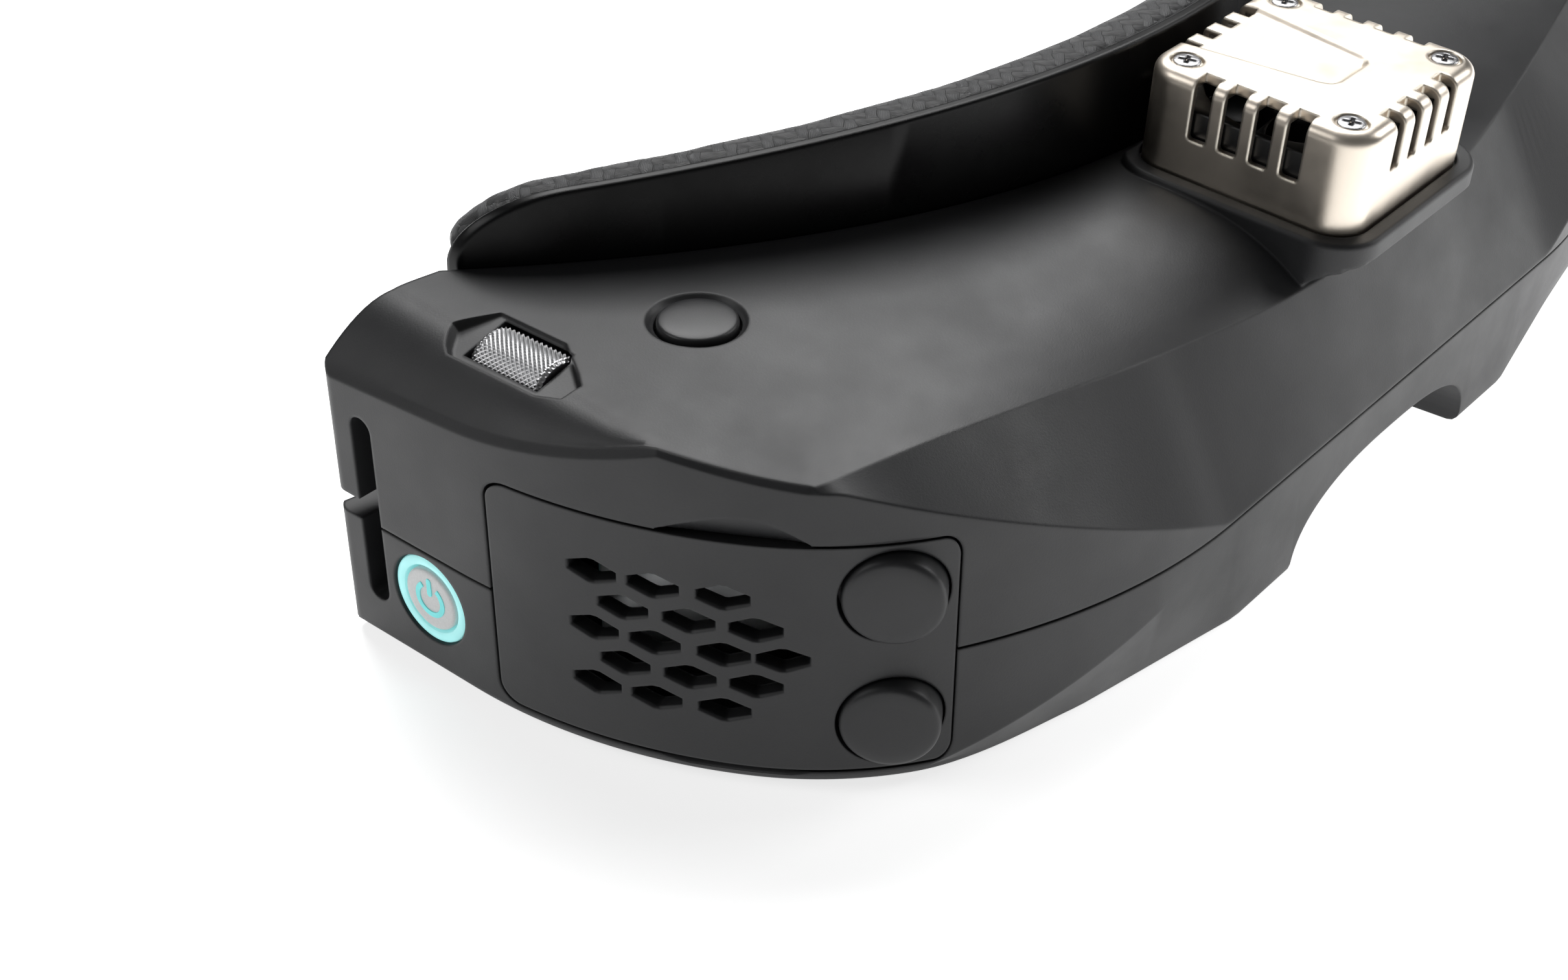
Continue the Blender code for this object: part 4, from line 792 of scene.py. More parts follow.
def fan_collar():
    half = COVER_SIZE / 2 + GAP + 1.8
    rings = []
    levels = [(-7.5, 9.2), (-6.0, 9.8), (-4.6, 10.8), (-3.6, 12.2), (-2.9, 13.8)]
    levels += [(-2.3, half - 0.35), (-1.9, half), (-0.1, half), (0.2, half - 0.1), (0.4, half - 0.35)]
    for depth, front in levels:
        inset = 0.0 if depth < 0.1 else half - front
        top = rounded(half - inset, half - inset, 5.8 - inset, 10)
        rings.append([fan(x, min(max(y, -front), 14.2), depth) for x, y in top])
    return loft(rings)


def upper_shell():
    stations = wall_stations()
    seam = SEAM_Z + 0.15
    shell = raw("shell_upper", *shell_solid(upper_ring, 0.0, seam, lambda x: 0.0, stations))
    cut(shell, shell_solid(upper_ring, SHELL, seam - 1.0, cavity_back, hollow(stations)))
    weld(shell, fan_collar())
    cut(shell, prism(rounded(13.8, 13.8, 4.3), -0.6, 1.4, fan))
    holes = [disc(1.0, -2.6, 1.0, fan_at(*spot), 20) for spot in SCREWS]
    cut(shell, disc(11.5, -12.0, 1.0, fan, 72), *holes)
    cut(shell, *both(panel_band(0.0, SHELL + 1.5, 2)), *both(arm_pocket(SEAM_Z - 3, DECK_Z)))
    gap_y = (SLOT_Y + 1, ARM_BACK + 2)
    gap_x = (HALF_WIDTH - 6.0, HALF_WIDTH + 2)
    cut(shell, *both(slot_cut()))
    cut(shell, *both(box(gap_x, gap_y, (SEAM_Z - 1, SEAM_Z + 2.3))))
    cut(shell, *both(scoop(1)))
    cut(shell, *both(end_round()))
    tops = (33.5, 36.2) * 2
    weld(shell, *[disc(3.2, seam, top, place, 32) for place, top in zip(boss_places(), tops)])
    cut(shell, *[disc(1.5, seam - 1, 26, place, 24) for place in boss_places()])
    levels = ((0.0, -1.0), (0.07, -0.86), (0.22, -0.76), (3.0, 0.8))
    cut(shell, loft([[dish(a, b, c) for a, b in dish_outline(grow)] for c, grow in levels]))
    x, y, z = JOG
    half = WHEEL_LENGTH / 2 + GAP
    cut(shell, disc(WHEEL_RADIUS + GAP, -half, half, at(JOG, "y"), 64))
    half += 1.0 + GAP
    cut(shell, box(around(x, 4.2), (y - half, y + half), (z - WHEEL_RADIUS, z + 1.5 + GAP)))
    menu = at(MENU)
    bowl = [(0, 1.0), (5.65, 1.0), (5.3, 0.12), (5.0, -0.25), (4.7, -0.55), (4.45, -0.7), (0, -0.7)]
    cut(shell, turned(bowl, menu, 72))
    cut(shell, disc(4.1 + GAP, -5, 2, menu, 72))
    dress(shell, "housing", HOUSING, ("upper_housing",))


def lower_shell():
    stations = wall_stations()
    seam = SEAM_Z - 0.15
    shell = raw("shell_lower", *shell_solid(lower_ring, 0.0, seam, lambda x: 0.0, stations))
    cut(shell, shell_solid(lower_ring, SHELL, seam + 1.0, cavity_back, hollow(stations)))
    front = nose_arch(20.0, 10.0, 1.0, grow=SHELL)
    back = nose_arch(18.0, 13.0, FACE_Y - 0.2, grow=SHELL)
    weld(shell, loft([[(x, y, max(z, 1.0)) for x, y, z in ring[:-2]] for ring in (front, back)]))
    cut(shell, loft([nose_arch(20.0, 10.0, -1.0), nose_arch(18.0, 13.0, FACE_Y + 8)]))
    cut(shell, *both(panel_band(0.0, SHELL + 1.5, 2)), *both(arm_pocket(0, SEAM_Z + 3)))
    cut(shell, *both(slot_cut()))
    cut(shell, *both(scoop(-1)))
    cut(shell, *both(end_round()))
    weld(shell, *[disc(3.2, 1.0, seam, place, 32) for place in boss_places()])
    bore = [(0, -1), (2.6, -1), (2.6, 2.0), (1.5, 2.0), (1.5, 17), (0, 17)]
    cut(shell, *[turned(bore, place, 32) for place in boss_places()])
    for side in (-1, 1):
        x = side * IPD_HALF
        recess = prism(shifted(rounded(6.8, 2.5, 1.0, 6), x, SLIDE_Y), -1, 1.3, along_z)
        cut(shell, recess)
        cut(shell, box(around(x, 10.6), around(SLIDE_Y, 3.6), (-1, SHELL + 1)))
        rails = [box((x + s * 8.1 - 1, x + s * 8.1 + 1), around(SLIDE_Y, 5.0), (1.0, 6.9)) for s in (-1, 1)]
        weld(shell, *rails)
    cut(shell, disc(5.25, -2, SHELL + 2, at(POWER, "x"), 72))
    dress(shell, "housing", HOUSING, ("lower_housing",))


# --- face plate and pad ---


def rim_z(x):
    crown = SEAM_Z + 35.0 - RIM_DROP * (x / PLATE_HALF) ** 2
    start = PLATE_HALF - RIM_CORNER_X
    if x <= start:
        return crown
    t = min(1.0, (x - start) / RIM_CORNER_X)
    return crown - RIM_CORNER_Z * (1 - math.sqrt(max(0.0, 1 - t * t)))


def hem_z(x):
    t = min(1.0, max(0.0, (x - PLATE_HALF + RIM_CORNER_X) / RIM_CORNER_X))
    return RIM_CORNER_Z * (1 - math.sqrt(1 - t * t))


def face_slab(front, back, inset, rounding):
    """A slab that follows the face. rounding(share) pulls its rim in towards the back."""
    half = PLATE_HALF - inset
    straight = PLATE_HALF - RIM_CORNER_X
    xs = [straight * i / 30 for i in range(30)]
    xs += [straight + (half - straight) * math.sin(math.radians(5 * i)) for i in range(19)]
    rings = []
    for x in [-x for x in reversed(xs[1:])] + xs:
        size = abs(x)
        low, high = hem_z(size) + inset, rim_z(size) - inset
        if size > half - 0.01:
            low, high = low + 0.5, high - 0.5
        y = face_y(size)
        ring = [(x, y + front + (back - front) * s, low + pull) for s, pull in rounding]
        ring += [(x, y + front + (back - front) * s, high - pull) for s, pull in reversed(rounding)]
        rings.append(ring)
    return loft(rings)


def eye_opening(inset, past):
    half, low, high = 61.0 - inset, SEAM_Z - 10.0 + inset, SEAM_Z + 19.5 - inset
    bridge = 22.0 + inset
    outline = []
    for cx, cz, sx, sz, start in ((half, high, 1, 1, 0), (-half, high, -1, 1, 90), (-half, low, -1, -1, 180)):
        for i in range(13):
            angle = math.radians(start + 90 * i / 12)
            outline.append((cx - sx * 6 + 6 * math.cos(angle), cz - sz * 6 + 6 * math.sin(angle)))
    for i in range(41):
        t = i / 40 * 2 - 1
        outline.append((27.0 * t, low + (bridge - low) * (1 - smooth(0.42, 1.0, abs(t)))))
    for i in range(13):
        angle = math.radians(270 + 90 * i / 12)
        outline.append((half - 6 + 6 * math.cos(angle), low + 6 + 6 * math.sin(angle)))
    return prism(outline, FACE_Y - past, DEPTH + past, along_y)


def nose_cut(grow, past):
    return loft([nose_arch(17.0, 18.5, y, grow=grow) for y in (FACE_Y - past, DEPTH + past)])


def face_plate():
    curve = [(0, 0.3), (0.06, 0.12), (0.2, 0), (0.8, 0), (0.94, 0.12), (1, 0.3)]
    plate = raw("face_plate", *face_slab(GAP, GAP + PLATE, 0.0, curve))
    cut(plate, eye_opening(0.0, 10))
    cut(plate, nose_cut(0.0, 10))
    dress(plate, "housing", PLATE_BLACK, ("faceplate",), 25.0)


def rim_length(points):
    """Length round the pad's outer outline at the place nearest to each point, in millimetres."""
    xs = np.linspace(-PLATE_HALF + PAD_INSET, PLATE_HALF - PAD_INSET, 400)
    top = np.array([(x, rim_z(abs(x))) for x in xs])
    low = np.array([(x, hem_z(abs(x))) for x in xs[::-1]])
    line = np.concatenate([top, low, top[:1]])
    steps = np.concatenate([[0], np.cumsum(np.linalg.norm(np.diff(line, axis=0), axis=1))])
    nearest = np.argmin(((points[:, None, :] - line[None, :, :]) ** 2).sum(axis=2), axis=1)
    return steps[nearest]


def weave_map(mesh):
    """UV in millimetres: along and across the face on the pad's broad sides, round the rim on its edge."""
    layer = mesh.uv_layers.new(name="weave")
    co = np.empty(len(mesh.vertices) * 3)
    mesh.vertices.foreach_get("co", co)
    co = co.reshape(-1, 3) / MM
    length = rim_length(co[:, [0, 2]])
    uv = np.empty((len(mesh.loops), 2))
    for face in mesh.polygons:
        broad = abs(face.normal.y) > 0.6
        for corner in face.loop_indices:
            vertex = mesh.loops[corner].vertex_index
            uv[corner] = co[vertex, [0, 2]] if broad else (length[vertex], co[vertex, 1])
        if not broad:
            spread = uv[face.loop_indices, 0]
            if np.ptp(spread) > 100:
                uv[face.loop_indices, 0] = spread[0]
    layer.data.foreach_set("uv", uv.ravel())


def pad():
    """Foam under woven textile: a slightly smaller blank, blown up as cloth, held along its front."""
    curve = [(0.0, 0.2), (0.08, 0.0), (0.6, 0.1), (0.8, 0.35), (0.93, 0.9), (1.0, 1.7)]
    blank = raw("pad", *face_slab(PAD_FRONT + 0.1, PAD_FRONT + PAD - 0.5, PAD_INSET + 0.1, curve))
    cut(blank, eye_opening(-0.9, 10))
    cut(blank, nose_cut(0.9, 10))
    for v in blank.data.vertices:
        x, y = abs(v.co.x / MM), v.co.y / MM + DEPTH / 2
        share = (y - face_y(x) - PAD_FRONT) / PAD
        moved = x - 4.5 * share * share * smooth(61.5, 77.0, x)
        v.co.x = math.copysign(moved * MM, v.co.x)
        v.co.y += (face_y(moved) - face_y(x)) * MM
    remesh = blank.modifiers.new("even", "REMESH")
    remesh.mode = "VOXEL"
    remesh.voxel_size = 1.1 * MM
    remesh.use_smooth_shade = True
    settle(blank)
    start = [v.co.copy() for v in blank.data.vertices]
    held = blank.vertex_groups.new(name="held")
    for v in blank.data.vertices:
        x, y = v.co.x / MM, v.co.y / MM + DEPTH / 2
        depth = y - face_y(abs(x)) - PAD_FRONT
        if depth < 1.2:
            held.add([v.index], 1.0, "REPLACE")
    cloth = blank.modifiers.new("cloth", "CLOTH")
    settings = cloth.settings
    settings.quality = 6
    settings.mass = 0.2
    settings.tension_stiffness = settings.compression_stiffness = 25
    settings.bending_stiffness = 2.0
    settings.use_pressure = True
    settings.uniform_pressure_force = 3.0
    settings.vertex_group_mass = "held"
    settings.effector_weights.gravity = 0.0
    scene = bpy.context.scene
    scene.frame_start, scene.frame_end = 1, 20
    cloth.point_cache.frame_start, cloth.point_cache.frame_end = 1, 20
    for number in range(1, 21):
        scene.frame_set(number)
    mesh = evaluated(blank)
    blank.modifiers.clear()
    blank.data = mesh
    scene.frame_set(1)
    most = 0.55 * MM
    for v, place in zip(blank.data.vertices, start):
        move = v.co - place
        if move.length > most:
            move = move.normalized() * most
        v.co = place + move
    round_off = blank.modifiers.new("round", "SMOOTH")
    round_off.iterations = 3
    round_off.factor = 0.5
    finer = blank.modifiers.new("finer", "SUBSURF")
    finer.levels = finer.render_levels = 1
    settle(blank)
    for v in blank.data.vertices:
        x, y = v.co.x / MM, v.co.y / MM + DEPTH / 2
        low = face_y(abs(x)) + PAD_FRONT
        v.co.y = (min(max(y, low), DEPTH, low + PAD) - DEPTH / 2) * MM
        v.co.z = max(v.co.z, 0.15 * MM)
    weave_map(blank.data)
    dress(blank, "housing", WEAVE, ("face_pad",), 180.0)


# --- fan ---


def fan_cover():
    half = COVER_SIZE / 2
    levels = [(0.0, -GAP), (0.0, COVER_HEIGHT - 1.5)]
    levels += [(1.5 * (1 - math.cos(math.radians(t))), COVER_HEIGHT - 1.5 + 1.5 * math.sin(math.radians(t)))
               for t in range(12, 91, 13)]
    rings = [[fan(x, y, z) for x, y in rounded(half - i, half - i, 4.0 - i, 12)] for i, z in levels]
    cover = raw("cover_of_fan", *loft(rings))
    inner = rounded(half - 0.8, half - 0.8, 3.2, 12)
    cut(cover, prism(inner, -1.3, COVER_HEIGHT - 1.2, fan))
    back, front = half + 1, half - 17.5
    outline = [(-6.5, back), (6.5, back), (4.1, front + 1.6), (3.6, front + 0.5), (2.6, front)]
    outline += [(-2.6, front), (-3.6, front + 0.5), (-4.1, front + 1.6)]
    wide = [(x * 1.14, y if y == back else y - 0.7) for x, y in outline]
    cut(cover, loft([[fan(x, y, COVER_HEIGHT - 0.6) for x, y in outline],
                     [fan(x, y, COVER_HEIGHT + 0.1) for x, y in wide]]))
    places = [(i - 1.5) * 3.75 for i in range(4)]
    walls = ((2.3, 4.9, lambda a, b, c: fan(c, a, b)), (1.9, 6.0, lambda a, b, c: fan(a, c, b)))
    for sign in (-1, 1):
        near, far = sorted((sign * (half - 2.3), sign * (half + 1)))
        for width, low, place in walls:
            middle = (low + COVER_HEIGHT + 3) / 2
            slot = rounded(width / 2, middle - low, 0.45, 5)
            cut(cover, *[prism(shifted(slot, a, middle), near, far, place) for a in places])
    seat = [(0, 7), (1.0, 7), (1.0, COVER_HEIGHT - 0.7), (1.8, COVER_HEIGHT - 0.6)]
    seat += [(1.95, COVER_HEIGHT + 1), (0, COVER_HEIGHT + 1)]
    cut(cover, *[turned(seat, fan_at(*spot), 32) for spot in SCREWS])
    dress(cover, "housing", COVER_METAL, ("fan_cover",), 28.0)


def cross_recess(place, top, reach=0.95, depth=1.2):
    """A Phillips recess, tapering to its floor."""
    arms = []
    for turn in (0, 90):
        c, s = math.cos(math.radians(turn + 20)), math.sin(math.radians(turn + 20))
        rings = []
        for z, k in ((top - depth, 0.85), (top + 0.2, 1.02)):
            flat = [(-reach * k, -0.24), (reach * k, -0.24), (reach * k, 0.24), (-reach * k, 0.24)]
            rings.append([place(a * c - b * s, a * s + b * c, z) for a, b in flat])
        arms.append(loft(rings))
    return arms


def fan_screws():
    top = COVER_HEIGHT + 0.05
    profile = [(0, -2.0), (0.9, -2.0), (0.9, top - 0.5), (1.42, top - 0.42), (1.5, top - 0.3)]
    profile += [(1.5, top - 0.14), (1.42, top - 0.05), (1.2, top), (0, top)]
    for i, spot in enumerate(SCREWS):
        screw = raw(f"cover_screw_{i + 1}", *turned(profile, fan_at(*spot), 40))
        for arm in cross_recess(fan_at(*spot), top):
            cut(screw, arm)
        dress(screw, "housing", STEEL, (f"fan_screw_{i + 1}",), 25.0)


def fan_rotor():
    low, high = -GAP, -GAP + 8.0
    hub_low = low + 1.2 + GAP
    profile = [(0, low + 0.3), (0.8, low + 0.3), (0.8, hub_low), (5.4, hub_low), (5.4, high - 1.0)]
    profile += [(5.4 - 1.0 * (1 - math.cos(math.radians(t))), high - 1.0 + math.sin(math.radians(t)))
                for t in (25, 50, 75, 90)] + [(3.6, high), (3.5, high - 0.15), (0, high - 0.15)]
    shapes = [turned(profile, fan, 64)]
    for blade in range(7):
        start = 2 * math.pi * blade / 7
        rings = []
        for step in range(9):
            radius = 4.6 + (11.5 - 0.6 - 4.6) * step / 8
            sweep = 0.24 * (step / 8) ** 1.6
            pitch = 0.42 - 0.012 * radius
            ring = []
            for side, order in ((1, range(9)), (-1, range(8, -1, -1))):
                for k in order:
                    t = k / 8 * 2 - 1
                    thick = side * (0.28 - 0.16 * abs(t) ** 2) / radius
                    bow = 0.05 * (1 - t * t)
                    turn = start + sweep + t * pitch + thick + bow
                    z = (hub_low + 0.2 + high - 0.5) / 2 + t * (high - 0.7 - hub_low) / 2
                    ring.append(fan(radius * math.cos(turn), radius * math.sin(turn), z))
            rings.append(ring)
        shapes.append(loft(rings))
    rotor = raw("rotor_fine", *joined(shapes))
    dress(rotor, "fan_rotor", FAN_BLACK, ("fan_rotor",), 35.0)


# --- controls ---


def jog_wheel():
    """Diamond knurl from two families of ridges, with chamfered ends on a plain bore."""
    place = at(JOG, "y")
    half, bore, ridges, pitch, rows = WHEEL_LENGTH / 2, 1.1, 36, 1.6, 120
    turns = [i / (ridges * 8) for i in range(ridges * 8)]
    rings = [[place(*polar(bore, 360 * turn), -half) for turn in turns]]
    for row in range(rows + 1):
        y = -half + WHEEL_LENGTH * row / rows
        end = max(0.0, abs(y) - (half - 0.6))
        groove = 0.36 * (1 - min(1.0, end / 0.15) * 0.7)
        ring = []
        for turn in turns:
            one = abs((ridges * turn + y * pitch) % 1 * 2 - 1)
            two = abs((ridges * turn - y * pitch) % 1 * 2 - 1)
            radius = WHEEL_RADIUS - groove * (1 - min(one, two)) - end * 0.7
            ring.append(place(*polar(radius, 360 * turn), y))
        rings.append(ring)
    rings.append([place(*polar(bore, 360 * turn), half) for turn in turns])
    wheel = raw("wheel_fine", *loft(rings, closed=True))
    dress(wheel, "jog_wheel", WHEEL_METAL, ("jog_wheel",), 40.0)


def menu_button():
    inside = -SHELL - 0.8 - 0.6
    profile = [(0, inside - 2.4), (1.5, inside - 2.4), (1.5, inside - 1.0)]
    profile += [(5.0, inside - 1.0), (5.0, inside + 0.6)]
    profile += [(4.1, inside + 0.6), (4.1, -0.35), (4.06, -0.14), (3.95, 0.0), (3.75, 0.09)]
    profile += [(3.2, 0.18), (2.4, 0.27), (1.4, 0.33), (0.7, 0.355), (0, 0.36)]
    button = raw("menu_fine", *turned(profile, at(MENU), 72))
    dress(button, "menu_button", CONTROL, ("menu_button",), 40.0)


def power_button():
    place = at(POWER, "x")
    ring = [(5.1, 0.45), (5.1, SHELL), (4.3, SHELL), (4.3, SHELL + 1.3), (3.9, SHELL + 1.3), (3.9, 0.45)]
    ring += [(3.98, 0.26), (4.15, 0.18), (4.5, 0.14), (4.85, 0.18), (5.02, 0.26)]
    light = raw("light_fine", *turned(ring, place, 96))
    dress(light, "housing", CYAN, ("power_light_ring",), 40.0)
    stem = SHELL + 1.3 + GAP + 0.6
    profile = [(0, 0.16), (1.6, 0.15), (2.6, 0.12), (3.1, 0.1), (3.35, 0.12), (3.52, 0.2), (3.6, 0.36)]
    profile += [(3.6, SHELL + 1.2), (1.5, SHELL + 1.2), (1.5, stem + 1), (0, stem + 1)]
    button = raw("power_fine", *turned(profile, place, 72))
    dress(button, "power_button", POWER_GREY, ("power_button",), 40.0)
    rings = []
    for i in range(49):
        angle = math.radians(125 + 290 * i / 48)
        sweep = [(2.1, 0.2), (2.1, 0.05), (1.5, 0.05), (1.5, 0.2)]
        rings.append([place(r * math.cos(angle), r * math.sin(angle), d) for r, d in sweep])
    bar = prism(shifted(rounded(0.31, 1.1, 0.3, 5), 0.0, 1.5), 0.05, 0.2, place)
    symbol = raw("power_symbol", *joined([loft(rings), bar]))
    dress(symbol, "power_button", SYMBOL, (), 35.0)


# --- side bays ---


def vent(turn, z):
    x, y = wall_point(turn)
    angle = math.radians(turn)
    out = Vector((math.sin(angle), -math.cos(angle)))
    across = Vector((math.cos(angle), math.sin(angle)))

    def place(a, b, c):
        return (-(x + across.x * a + out.x * c), y + across.y * a + out.y * c, z + b)
    outline = [(2.55, -0.4), (2.55, 0.4), (0.16, 1.26), (-0.16, 1.26)]
    outline += [(-a, -b) for a, b in outline]
    flared = [(a + math.copysign(0.22, a), b + math.copysign(0.16, b)) for a, b in outline]
    rings = [[place(a, b, c) for a, b in line] for line, c in
             ((outline, -COVER - 1), (outline, -0.3), (flared, 0.02), (flared, 1.0))]
    return loft(rings)


def receiver_bay():
    cover = raw("cover_of_bay", *mirrored(panel_band(GAP, COVER, 0.0), -1))
    vents = []
    for turn, rows in zip((74.4, 71.4, 68.4, 65.1, 61.9, 58.4, 54.7), (3, 2, 3, 2, 3, 2, 1)):
        for row in range(rows):
            vents.append(vent(turn, SEAM_Z + 0.2 + (row - (rows - 1) / 2) * 6.8))
    cut(cover, *vents)
    spots = {"upper": SEAM_Z + 7.5, "lower": SEAM_Z - 7.5}
    cut(cover, *[disc(5.3, -12, 6, bay(-1, 0.0, z), 64) for z in spots.values()])
    dress(cover, "bay_cover", PANEL, ("bay_cover",), 14.0)
    for name, z in spots.items():
        place = bay(-1, 0.0, z)
        back = 1.6 - 5.5
        profile = [(0, back + 4.2), (3.5, back + 4.2), (3.5, back), (4.95, back), (5.08, back + 0.3)]
        profile += [(5.05, back + 2.6), (4.96, 0.6), (4.84, 0.98), (4.62, 1.2), (4.3, 1.32)]
        profile += [(3.2, 1.46), (1.8, 1.56), (0.8, 1.595), (0, 1.6)]
        cap = raw(f"cap_{name}", *turned(profile, place, 80))
        dress(cap, f"antenna_cap_{name}", CAP, (f"antenna_cap_{name}",), 32.0)
        connector(name, place, back)


def connector(name, place, back):
    """Threaded aerial connector: a hexagonal nut behind a barrel with turned threads."""
    tip, nut = back + 4.2 - GAP, back - 2 * GAP
    profile = [(0, -9.7), (3.2, -9.7), (3.2, nut)]
    threads = 9
    for i in range(threads):
        low = nut + (tip - 0.5 - nut) * i / threads
        profile += [(3.2, low + 0.05), (2.95, low + 0.22)]
    profile += [(3.15, tip - 0.35), (3.0, tip), (2.3, tip), (2.3, tip - 2.5), (0.65, tip - 2.5)]
    profile += [(0.65, tip - 1.0), (0, tip - 0.9)]
    hexagon = prism([polar(4.4, 60 * k) for k in range(6)], nut - 1.6, nut, place)
    piece = raw(f"connector_{name}", *joined([turned(profile, place, 48), hexagon]))
    dress(piece, "housing", BRASS, (f"antenna_connector_{name}",), 30.0)


def wall_depth(along):
    base = Vector(wall_point(39.8))
    low, high = BAY_TURNS
    for _ in range(30):
        middle = (low + high) / 2
        if (Vector(wall_point(middle)) - base).dot(BAY_ALONG) < along:
            low = middle
        else:
            high = middle
    return (Vector(wall_point(low)) - base).dot(BAY_OUT)


# Name, place along the bay, height over the seam, half sizes, and the bore or the wall round the opening.
PORTS = (("dc_jack", 1.0, 0.0, 4.2, 4.2, 2.8), ("audio_jack", 11.5, 5.0, 3.0, 3.0, 1.8),
         ("video_port", 21.5, -4.0, 7.6, 2.8, 0.6), ("card_slot", 23.0, 6.0, 6.4, 1.2, 0.5))


def port_bay():
    panel = raw("panel_of_ports", *panel_band(GAP, COVER, 0.0))
    back = -12.7
    for name, along, z, half_a, half_z, bore in PORTS:
        place = bay(1, along, SEAM_Z + z)
        face = min(wall_depth(along - half_a), wall_depth(along + half_a)) - 0.4
        if half_a == half_z:
            cut(panel, disc(half_a + GAP, back, 8, place, 56))
            profile = [(0, back), (half_a, back), (half_a, face - 0.3), (half_a - 0.3, face)]
            profile += [(bore + 0.35, face), (bore, face - 0.4), (bore, back + 1.5)]
            pin = [(1.0, back + 1.5), (1.0, face - 1.9), (0.6, face - 1.5), (0, face - 1.45)]
            profile += pin if name == "dc_jack" else [(0, back + 1.5)]
            piece = raw(name + "_fine", *turned(profile, place, 56))
            dress(piece, "housing", COMPONENT, (name,), 30.0)
            continue
        cut(panel, prism(rounded(half_a + GAP, half_z + GAP, 0.8, 6), back, 8, place))
        body = raw(name + "_fine", *prism(rounded(half_a, half_z, 0.5, 5), back, face, place))
        inner = rounded(half_a - 0.6, half_z - bore, 0.3, 4)
        cut(body, prism(inner, back + 2, face + 1, place))
        tongue = rounded(half_a - 1.6, 0.35 if name == "video_port" else 0.12, 0.1, 3)
        weld(body, prism(tongue, back + 1, face - 0.8, place))
        dress(body, "housing", SHELL_STEEL, (name,), 30.0)
    dress(panel, "housing", PANEL, ("port_panel",), 14.0)


# --- optics and inside ---


def optics(side):
    word = "right" if side < 0 else "left"
    body = "optic_" + word
    place = at((side * IPD_HALF, 0.0, OPTIC_Z), "y")
    inner, front, back = 11.7, 14.0, 32.2
    profile = [(12.85, back), (13.0, back - 0.2), (13.0, front + 3), (10, front), (5.5, front)]
    profile += [(5.5, front + 1.5), (inner - 2.5, front + 1.5), (inner - 0.5, front + 4)]
    for i in range(8):
        at_y = front + 4.4 + i * 1.05
        profile += [(inner - 0.5, at_y), (inner - 0.85, at_y + 0.3), (inner - 0.5, at_y + 0.6)]
    profile += [(inner - 0.5, back - 3.5), (inner, back - 3.5), (inner, back - 0.2), (inner + 0.2, back)]
    lug_low = SEAM_Z - 11.3 - 2.0
    lug = box(around(side * IPD_HALF, 6.0), around(SLIDE_Y, 5.0), (lug_low, OPTIC_Z - inner - 0.7))
    barrel = raw(f"barrel_{word}_fine", *joined([turned(profile, place, 80), lug]))
    dress(barrel, body, COMPONENT, (f"lens_barrel_{word}",), 25.0)
    glass, far, near = inner - GAP, back - 2.0 - 2 * GAP, back - 2 * GAP
    rim = glass / math.sin(math.radians(88))
    curve = [(rim * math.sin(math.radians(t)), 1.4 * math.cos(math.radians(t))) for t in range(0, 89, 11)]
    lens = [(r, far - h) for r, h in curve] + [(r, near + h) for r, h in reversed(curve)]
    lens[0], lens[-1] = (0, lens[0][1]), (0, lens[-1][1])
    piece = raw(f"lens_{word}_fine", *turned(lens, place, 72))
    dress(piece, body, GLASS, (f"lens_{word}",), 30.0)
    x = side * IPD_HALF
    low, top = GAP, 1.0
    head = prism(shifted(rounded(3.0, 2.2, 0.8, 6), x, SLIDE_Y), low + 0.25, top, along_z)
    rib = rounded(0.28, 1.7, 0.27, 5)
    steps = (-1.8, -0.6, 0.6, 1.8)
    ribs = [prism(shifted(rib, x + step, SLIDE_Y), low, low + 0.5, along_z) for step in steps]
    stem = box(around(x, 3), around(SLIDE_Y, 3), (low + 0.3, lug_low - GAP))
    knob = raw(f"knob_{word}_fine", *joined([head, stem, *ribs]))
    dress(knob, body, CONTROL, (f"ipd_knob_{word}",), 35.0)
    refined(f"display_{word}", body, SCREEN)
    refined(f"ipd_rod_{word}", "housing", AXLE_STEEL, 0.08)


def housing_screws():
    profile = [(0, GAP), (1.9, GAP), (2.2, GAP + 0.15), (2.3, GAP + 0.4), (2.3, GAP + 1.4)]
    profile += [(1.2, GAP + 1.4), (1.2, 25), (0, 25)]
    hexagon = [polar(1.1, 60 * k) for k in range(6)]
    for i, place in enumerate(boss_places()):
        screw = raw(f"closing_screw_{i + 1}", *turned(profile, place, 40))
        cut(screw, prism(hexagon, -1, GAP + 0.8, place))
        dress(screw, "housing", DARK_STEEL, (f"housing_screw_{i + 1}",), 30.0)


def inner_pieces():
    refined("fan_frame", "housing", FAN_BLACK, 0.15)
    refined("jog_axle", "housing", AXLE_STEEL, 0.08)
    for node in ("jog_encoder", "menu_switch", "power_switch"):
        refined(node, "housing", COMPONENT)
    refined("receiver_module", "housing", SHELL_STEEL)
    for node in ("main_board", "port_board"):
        refined(node, "housing", BOARD)


# --- stage ---


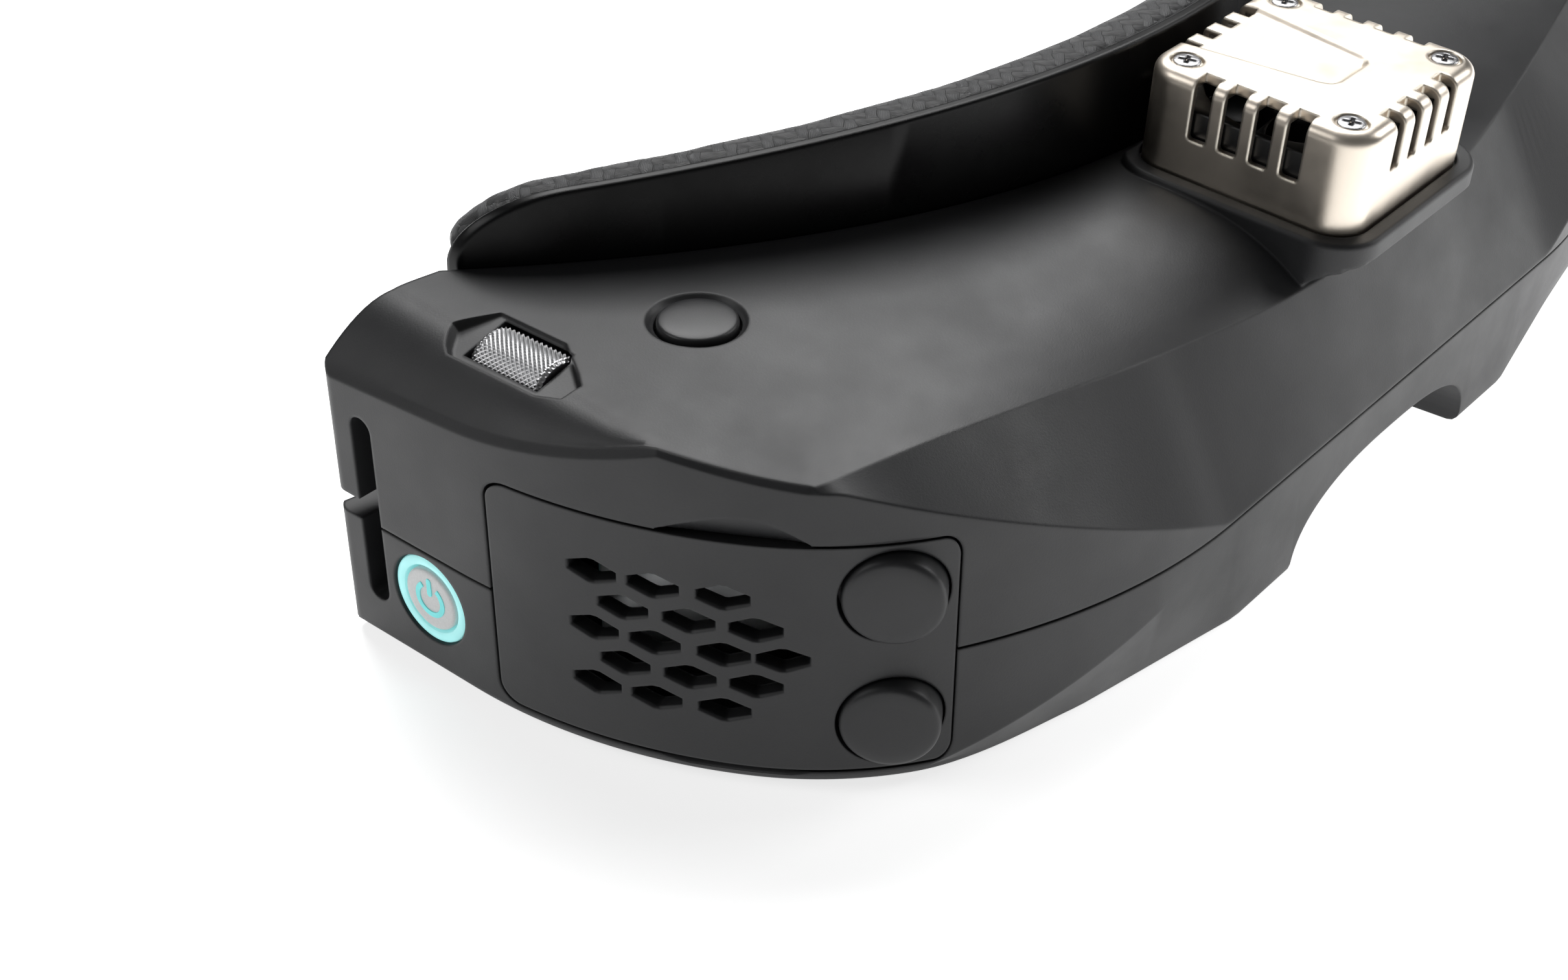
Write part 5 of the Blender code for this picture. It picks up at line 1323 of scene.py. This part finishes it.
def floor():
    side, steps = 6.0, 24
    points, faces = [], []
    for i in range(steps + 1):
        for j in range(steps + 1):
            points.append(((i / steps - 0.5) * side, (j / steps - 0.5) * side, -0.0003))
    for i in range(steps):
        for j in range(steps):
            k = i * (steps + 1) + j
            faces.append((k, k + 1, k + steps + 2, k + steps + 1))
    mesh = bpy.data.meshes.new("floor")
    mesh.from_pydata(points, [], faces)
    obj = bpy.data.objects.new("floor", mesh)
    bpy.context.scene.collection.objects.link(obj)
    g = Graph("floor_paper_painted_light", (0.9, 0.9, 0.9), 0.9)
    cloudy = g.span(g.noise(240.0), 0.3, 0.7, 0.0, 1.0)
    g.set(Base_Color=g.mix(cloudy, (0.89, 0.89, 0.89), (0.91, 0.91, 0.91)))
    # Painted light: the floor glows, from 0.62 on the left to 1.30 on the right, and so lights the goggles
    # unevenly.
    g.set(Emission_Color=g.mix(cloudy, (0.98, 0.98, 0.98), (1.0, 1.0, 1.0)))
    x = g.node("ShaderNodeSeparateXYZ", {"Vector": g.place}).outputs["X"]
    g.set(Emission_Strength=g.span(x, -0.12, 0.12, 0.62, 1.30))
    mesh.materials.append(g.material)


def lamp(name, place, target, size, power, color=(1, 1, 1)):
    light = bpy.data.lights.new(name, "AREA")
    light.shape = "RECTANGLE"
    light.size, light.size_y = size
    light.energy = power
    light.color = color
    obj = bpy.data.objects.new(name, light)
    obj.location = place
    obj.rotation_euler = (Vector(target) - Vector(place)).to_track_quat("-Z", "Y").to_euler()
    bpy.context.scene.collection.objects.link(obj)


def studio():
    scene = bpy.context.scene
    scene.view_settings.view_transform = "Standard"
    world_light = bpy.data.worlds.new("studio")
    world_light.use_nodes = True
    world_light.node_tree.nodes["Background"].inputs["Color"].default_value = (1, 1, 1, 1)
    world_light.node_tree.nodes["Background"].inputs["Strength"].default_value = 0.09
    scene.world = world_light
    target = (0.0, 0.0, 0.02)
    lamp("overhead", (0.36, 0.36, 0.76), target, (0.8, 0.6), 9.8)
    lamp("right", (0.78, -0.50, 0.52), target, (0.4, 0.4), 2.4)
    lamp("left", (-0.70, 0.50, 0.60), target, (0.5, 0.3), 1.7)
    camera = bpy.data.cameras.new("camera")
    camera.lens = 53.57
    camera.sensor_width = 36.0
    camera.clip_start = 0.01
    obj = bpy.data.objects.new("camera", camera)
    obj.location = (-0.21235, -0.12819, 0.15588)
    obj.rotation_euler = (math.radians(90 - 35.15), 0.0, math.radians(-49.67))
    scene.collection.objects.link(obj)
    scene.camera = obj


def main():
    upper_shell()
    lower_shell()
    face_plate()
    pad()
    fan_cover()
    fan_screws()
    fan_rotor()
    jog_wheel()
    menu_button()
    power_button()
    receiver_bay()
    port_bay()
    optics(-1)
    optics(1)
    housing_screws()
    inner_pieces()
    floor()
    studio()


main()
bpy.context.view_layer.update()
